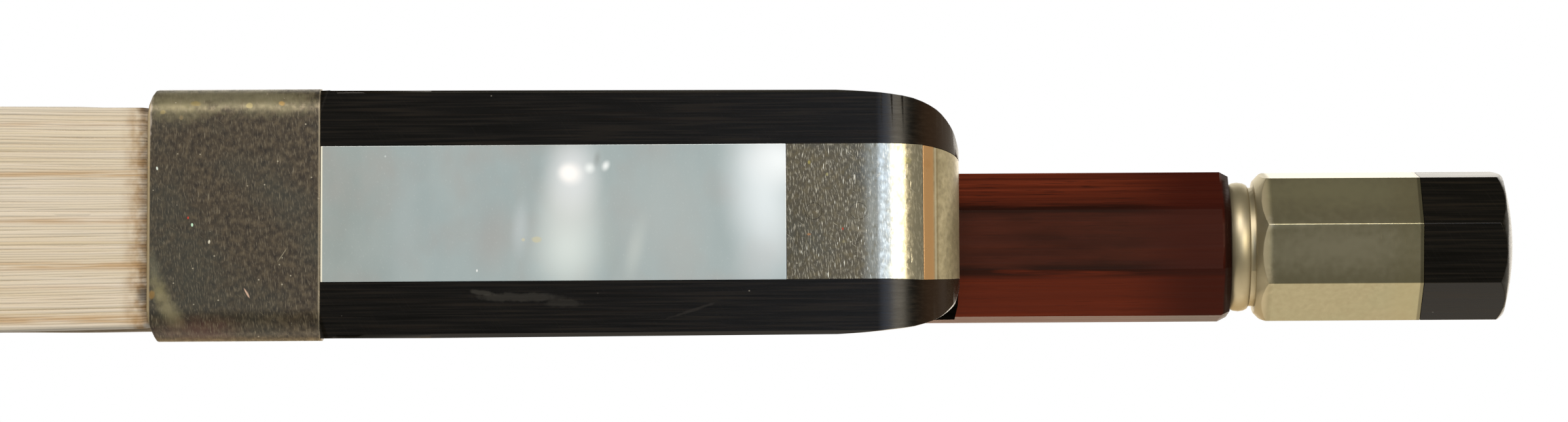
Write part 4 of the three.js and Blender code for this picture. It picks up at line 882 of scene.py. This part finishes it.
# place along the bow, height of the ribbon's middle and half its width, in mm
hair_run = [
    (-343.7, 4.6, 4.3), (-343.4, 1.5, 4.3), (-342.0, 0.66, 4.3), (-329.5, 0.66, 4.35),
    (-180, 0.78, 5.1), (0, 0.92, 6.0), (150, 1.03, 6.75), (235, 1.1, 7.2), (252, 1.11, 7.36),
    (258.5, 1.115, 7.36), (263, 1.12, 7.26), (267.2, 1.125, 7.16), (276, 1.14, 6.1),
    (286, 2.33, 4.1), (291.2, 2.33, 4.0)]
picks = random.Random(hair_seed)
strands = bpy.data.curves.new("strands", "CURVE")
strands.dimensions = "3D"
strands.bevel_depth = hair_width / 2 * MM
strands.bevel_resolution = 1
strands.use_fill_caps = True
for layer in range(hair_layers):
    for count in range(hairs_across):
        across = (2 * (count + 0.5 + 0.5 * (layer % 2)) / hairs_across - 1) * ribbon_share
        across = max(-1, min(1, across + picks.uniform(-1, 1) * side_play / hairs_across))
        lift = 2 * (layer + picks.uniform(-layer_play, layer_play)) / (hair_layers - 1) - 1
        spline = strands.splines.new("POLY")
        spline.points.add(len(hair_run) - 1)
        drift = 0.0
        for point, (x, z, half) in zip(spline.points, hair_run):
            drift = (drift + picks.uniform(-1, 1)) * hair_wander
            y = max(-half, min(half, across * half + drift))
            rise = max(-1, min(1, lift + picks.uniform(-rise_play, rise_play))) * half_ribbon
            point.co = (x * MM, y * MM, (z + rise) * MM, 1)
source = bpy.data.objects.new("strands", strands)
bpy.context.scene.collection.objects.link(source)
bpy.context.view_layer.update()
mesh = bpy.data.meshes.new_from_object(
    source.evaluated_get(bpy.context.evaluated_depsgraph_get()))
bpy.data.objects.remove(source)
mesh.name = "hair_strands"
mesh.polygons.foreach_set("use_smooth", [True] * len(mesh.polygons))

# where a point lies along and across the bow, and a number of its own for each hair
per_hair = len(mesh.vertices) // (hair_layers * hairs_across)
tones = [picks.random() for _ in range(hair_layers * hairs_across)]
told = mesh.attributes.new("hair_place", "FLOAT_VECTOR", "POINT")
for vertex in mesh.vertices:
    told.data[vertex.index].vector = (vertex.co.x, vertex.co.y, tones[vertex.index // per_hair])

# bleached and rosined: cream and dull, each hair in a tone of its own
horsehair, tree, shader, coordinates = start_material(
    "horsehair, bleached and rosined", 0.6, Specular_IOR_Level=0.12)
told = add(tree, "ShaderNodeAttribute", out=1, attribute_name="hair_place")
along, across, tone = add(tree, "ShaderNodeSeparateXYZ", {0: told}).node.outputs
flat = add(tree, "ShaderNodeCombineXYZ", {"X": along, "Y": across})
cream = add(tree, "ShaderNodeValToRGB", {0: tone}, stops=[
    (0.0, linear("#cec4b1")), (0.1, linear("#d1c8b6")), (0.45, linear("#d3cab9")),
    (0.8, linear("#d6cdbe")), (0.95, linear("#d2c8b2")), (1.0, linear("#cbbca0"))])
shade = grain(tree, flat, (18, 1.1, 1), detail=4)
cream = lay(tree, times(tree, shade, 0.4), cream, linear("#c9b590"))
# amber hairs that lie together: middle and half width across the ribbon in mm, and strength
amber_streaks = [
    (-6.1, 0.12, 0.35), (-2.81, 0.16, 0.75), (0.25, 0.15, 0.6), (3.19, 0.2, 0.75),
    (4.6, 0.1, 0.3), (6.7, 0.22, 0.8)]
broken = grain(tree, flat, (5, 0.3, 1), high=0.55)
for middle, wide, strength in amber_streaks:
    near = distance_from(tree, across, middle * MM)
    near = window(tree, near, wide * 2.2 * MM, wide * 0.2 * MM, strength * 0.8)
    cream = lay(tree, times(tree, near, broken), cream, linear("#b18a54"))
# hand dirt in front of the ferrule, darkest right at it in two places
stain_start, stain_end = 265.6 * MM, 267.2 * MM
dirt_start, dirt_end = 266.6 * MM, 267.3 * MM
dirt_places = [(-7.15, 0.5), (5.1, 0.7)]
stain = window(tree, along, stain_start, stain_end)
patchy = grain(tree, flat, (0.7, 0.8, 1), detail=4, high=0.65)
cream = lay(tree, times(tree, stain, times(tree, patchy, 0.8)), cream, linear("#94703e"))
edge = window(tree, along, dirt_start, dirt_end)
for middle, wide in dirt_places:
    near = distance_from(tree, across, middle * MM)
    near = window(tree, near, wide * MM, wide * 0.3 * MM)
    cream = lay(tree, times(tree, times(tree, near, edge), 0.6), cream, linear("#2c2118"))
tree.links.new(cream, shader.inputs["Base Color"])
mesh.materials.clear()
mesh.materials.append(horsehair)
hair = bpy.data.objects.new("hair_strands", mesh)
bpy.context.scene.collection.objects.link(hair)
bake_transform(hair)
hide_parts("hair_ribbon")

# Ferrule: a strip of silver bent to a D, soldered at its flat and filed; it holds the ribbon of
# hair flat on the frog's tongue. Its front rim and near corner are rubbed to a yellower metal.
ferrule_ease = 0.13 * MM
# the front rim is set back above a height, over a rise, and at its corners beyond a side
rim_before, rim_low, rim_rise, rim_set_back = 268.2, 0.8, 3.2, 0.32
corner_from, corner_run, corner_set_back = 6.1, 2.1, 0.5
# and the whole ferrule sits a little to the near side
ferrule_offset = -0.2
ferrule_wear = [
    (269.7, -7.2, 2.6, 1.0, 0, "#8d8664", 0.75), (275.2, -7.4, 3.6, 0.95, 2, "#857f60", 0.75),
    (272.2, -7.9, 5.0, 0.7, 0, "#7c7860", 0.7), (270.4, 3.4, 3.8, 2.6, 60, "#3b3f37", 0.5),
    (269.0, -0.6, 1.8, 1.6, 0, "#3c3d34", 0.4), (268.1, 3.7, 1.5, 0.4, 80, "#77755f", 0.5),
    (268.5, 5.1, 1.2, 0.5, 66, "#8a825c", 0.75), (269.2, 6.4, 1.3, 0.6, 57, "#888060", 0.8),
    (270.9, 7.4, 2.6, 0.8, 0, "#5e3b33", 0.5)]
ferrule_marks = [
    (274.2, -7.16, 0.26, 0.24, 0, "#a3976a", 0.8), (276.3, -7.29, 0.3, 0.22, 10, "#a88a50", 0.8),
    (270.7, -7.3, 0.42, 0.24, 5, "#91814f", 0.7), (268.6, -6.74, 0.26, 0.18, 0, "#968859", 0.7),
    (269.8, -6.35, 0.15, 0.2, 0, "#8a7a58", 0.7), (267.95, 5.2, 0.26, 0.36, 0, "#93733a", 0.7),
    (267.6, -5.3, 0.3, 4.2, 3, "#b3a99b", 0.8), (268.25, -3.05, 0.08, 0.16, -14, "#e6f0e4", 1.0),
    (267.66, -3.1, 0.09, 0.15, 0, "#c07a3a", 0.85), (270.28, 0.2, 0.08, 0.12, 0, "#d0402c", 0.9),
    (270.54, 0.66, 0.09, 0.14, 0, "#c9efcf", 1.0), (271.65, 1.77, 0.08, 0.15, 10, "#e0dac4", 0.9),
    (274.1, 5.12, 0.42, 0.07, 60, "#d6b49c", 0.9), (276.4, 2.64, 0.6, 0.045, -56, "#948b73", 0.75)]
ferrule_bands = [(267.5, 267.78, 0.05, "#ad9b76", 0.85), (278.7, 278.9, 0.03, "#a39880", 0.55)]
ferrule_silver = old_silver("tarnished silver, ferrule", "#272017", "#42392b", "#615643",
                            "#8a806a", ferrule_marks, ferrule_bands, ferrule_wear, metal=0.35,
                            roughness=0.42, flecks=0.7, dense=0.53)
shape = node_copy("ferrule")
ease(shape, sharp_edges(shape, 60), ferrule_ease, 3)
for vertex in shape.verts:
    if vertex.co.x < rim_before * MM:
        up = min(1.0, max(0.0, vertex.co.z / MM - rim_low) / rim_rise)
        out = max(0.0, abs(vertex.co.y) / MM - corner_from) / corner_run
        back = max(rim_set_back * (3 - 2 * up) * up * up, corner_set_back * out * out)
        vertex.co.x += back * MM
    vertex.co.y += ferrule_offset * MM
ferrule = finish_piece("ferrule_silver", shape, ferrule_silver, 40)
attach(ferrule, "frog")
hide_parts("ferrule")

# The size of the dressed model
low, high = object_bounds()
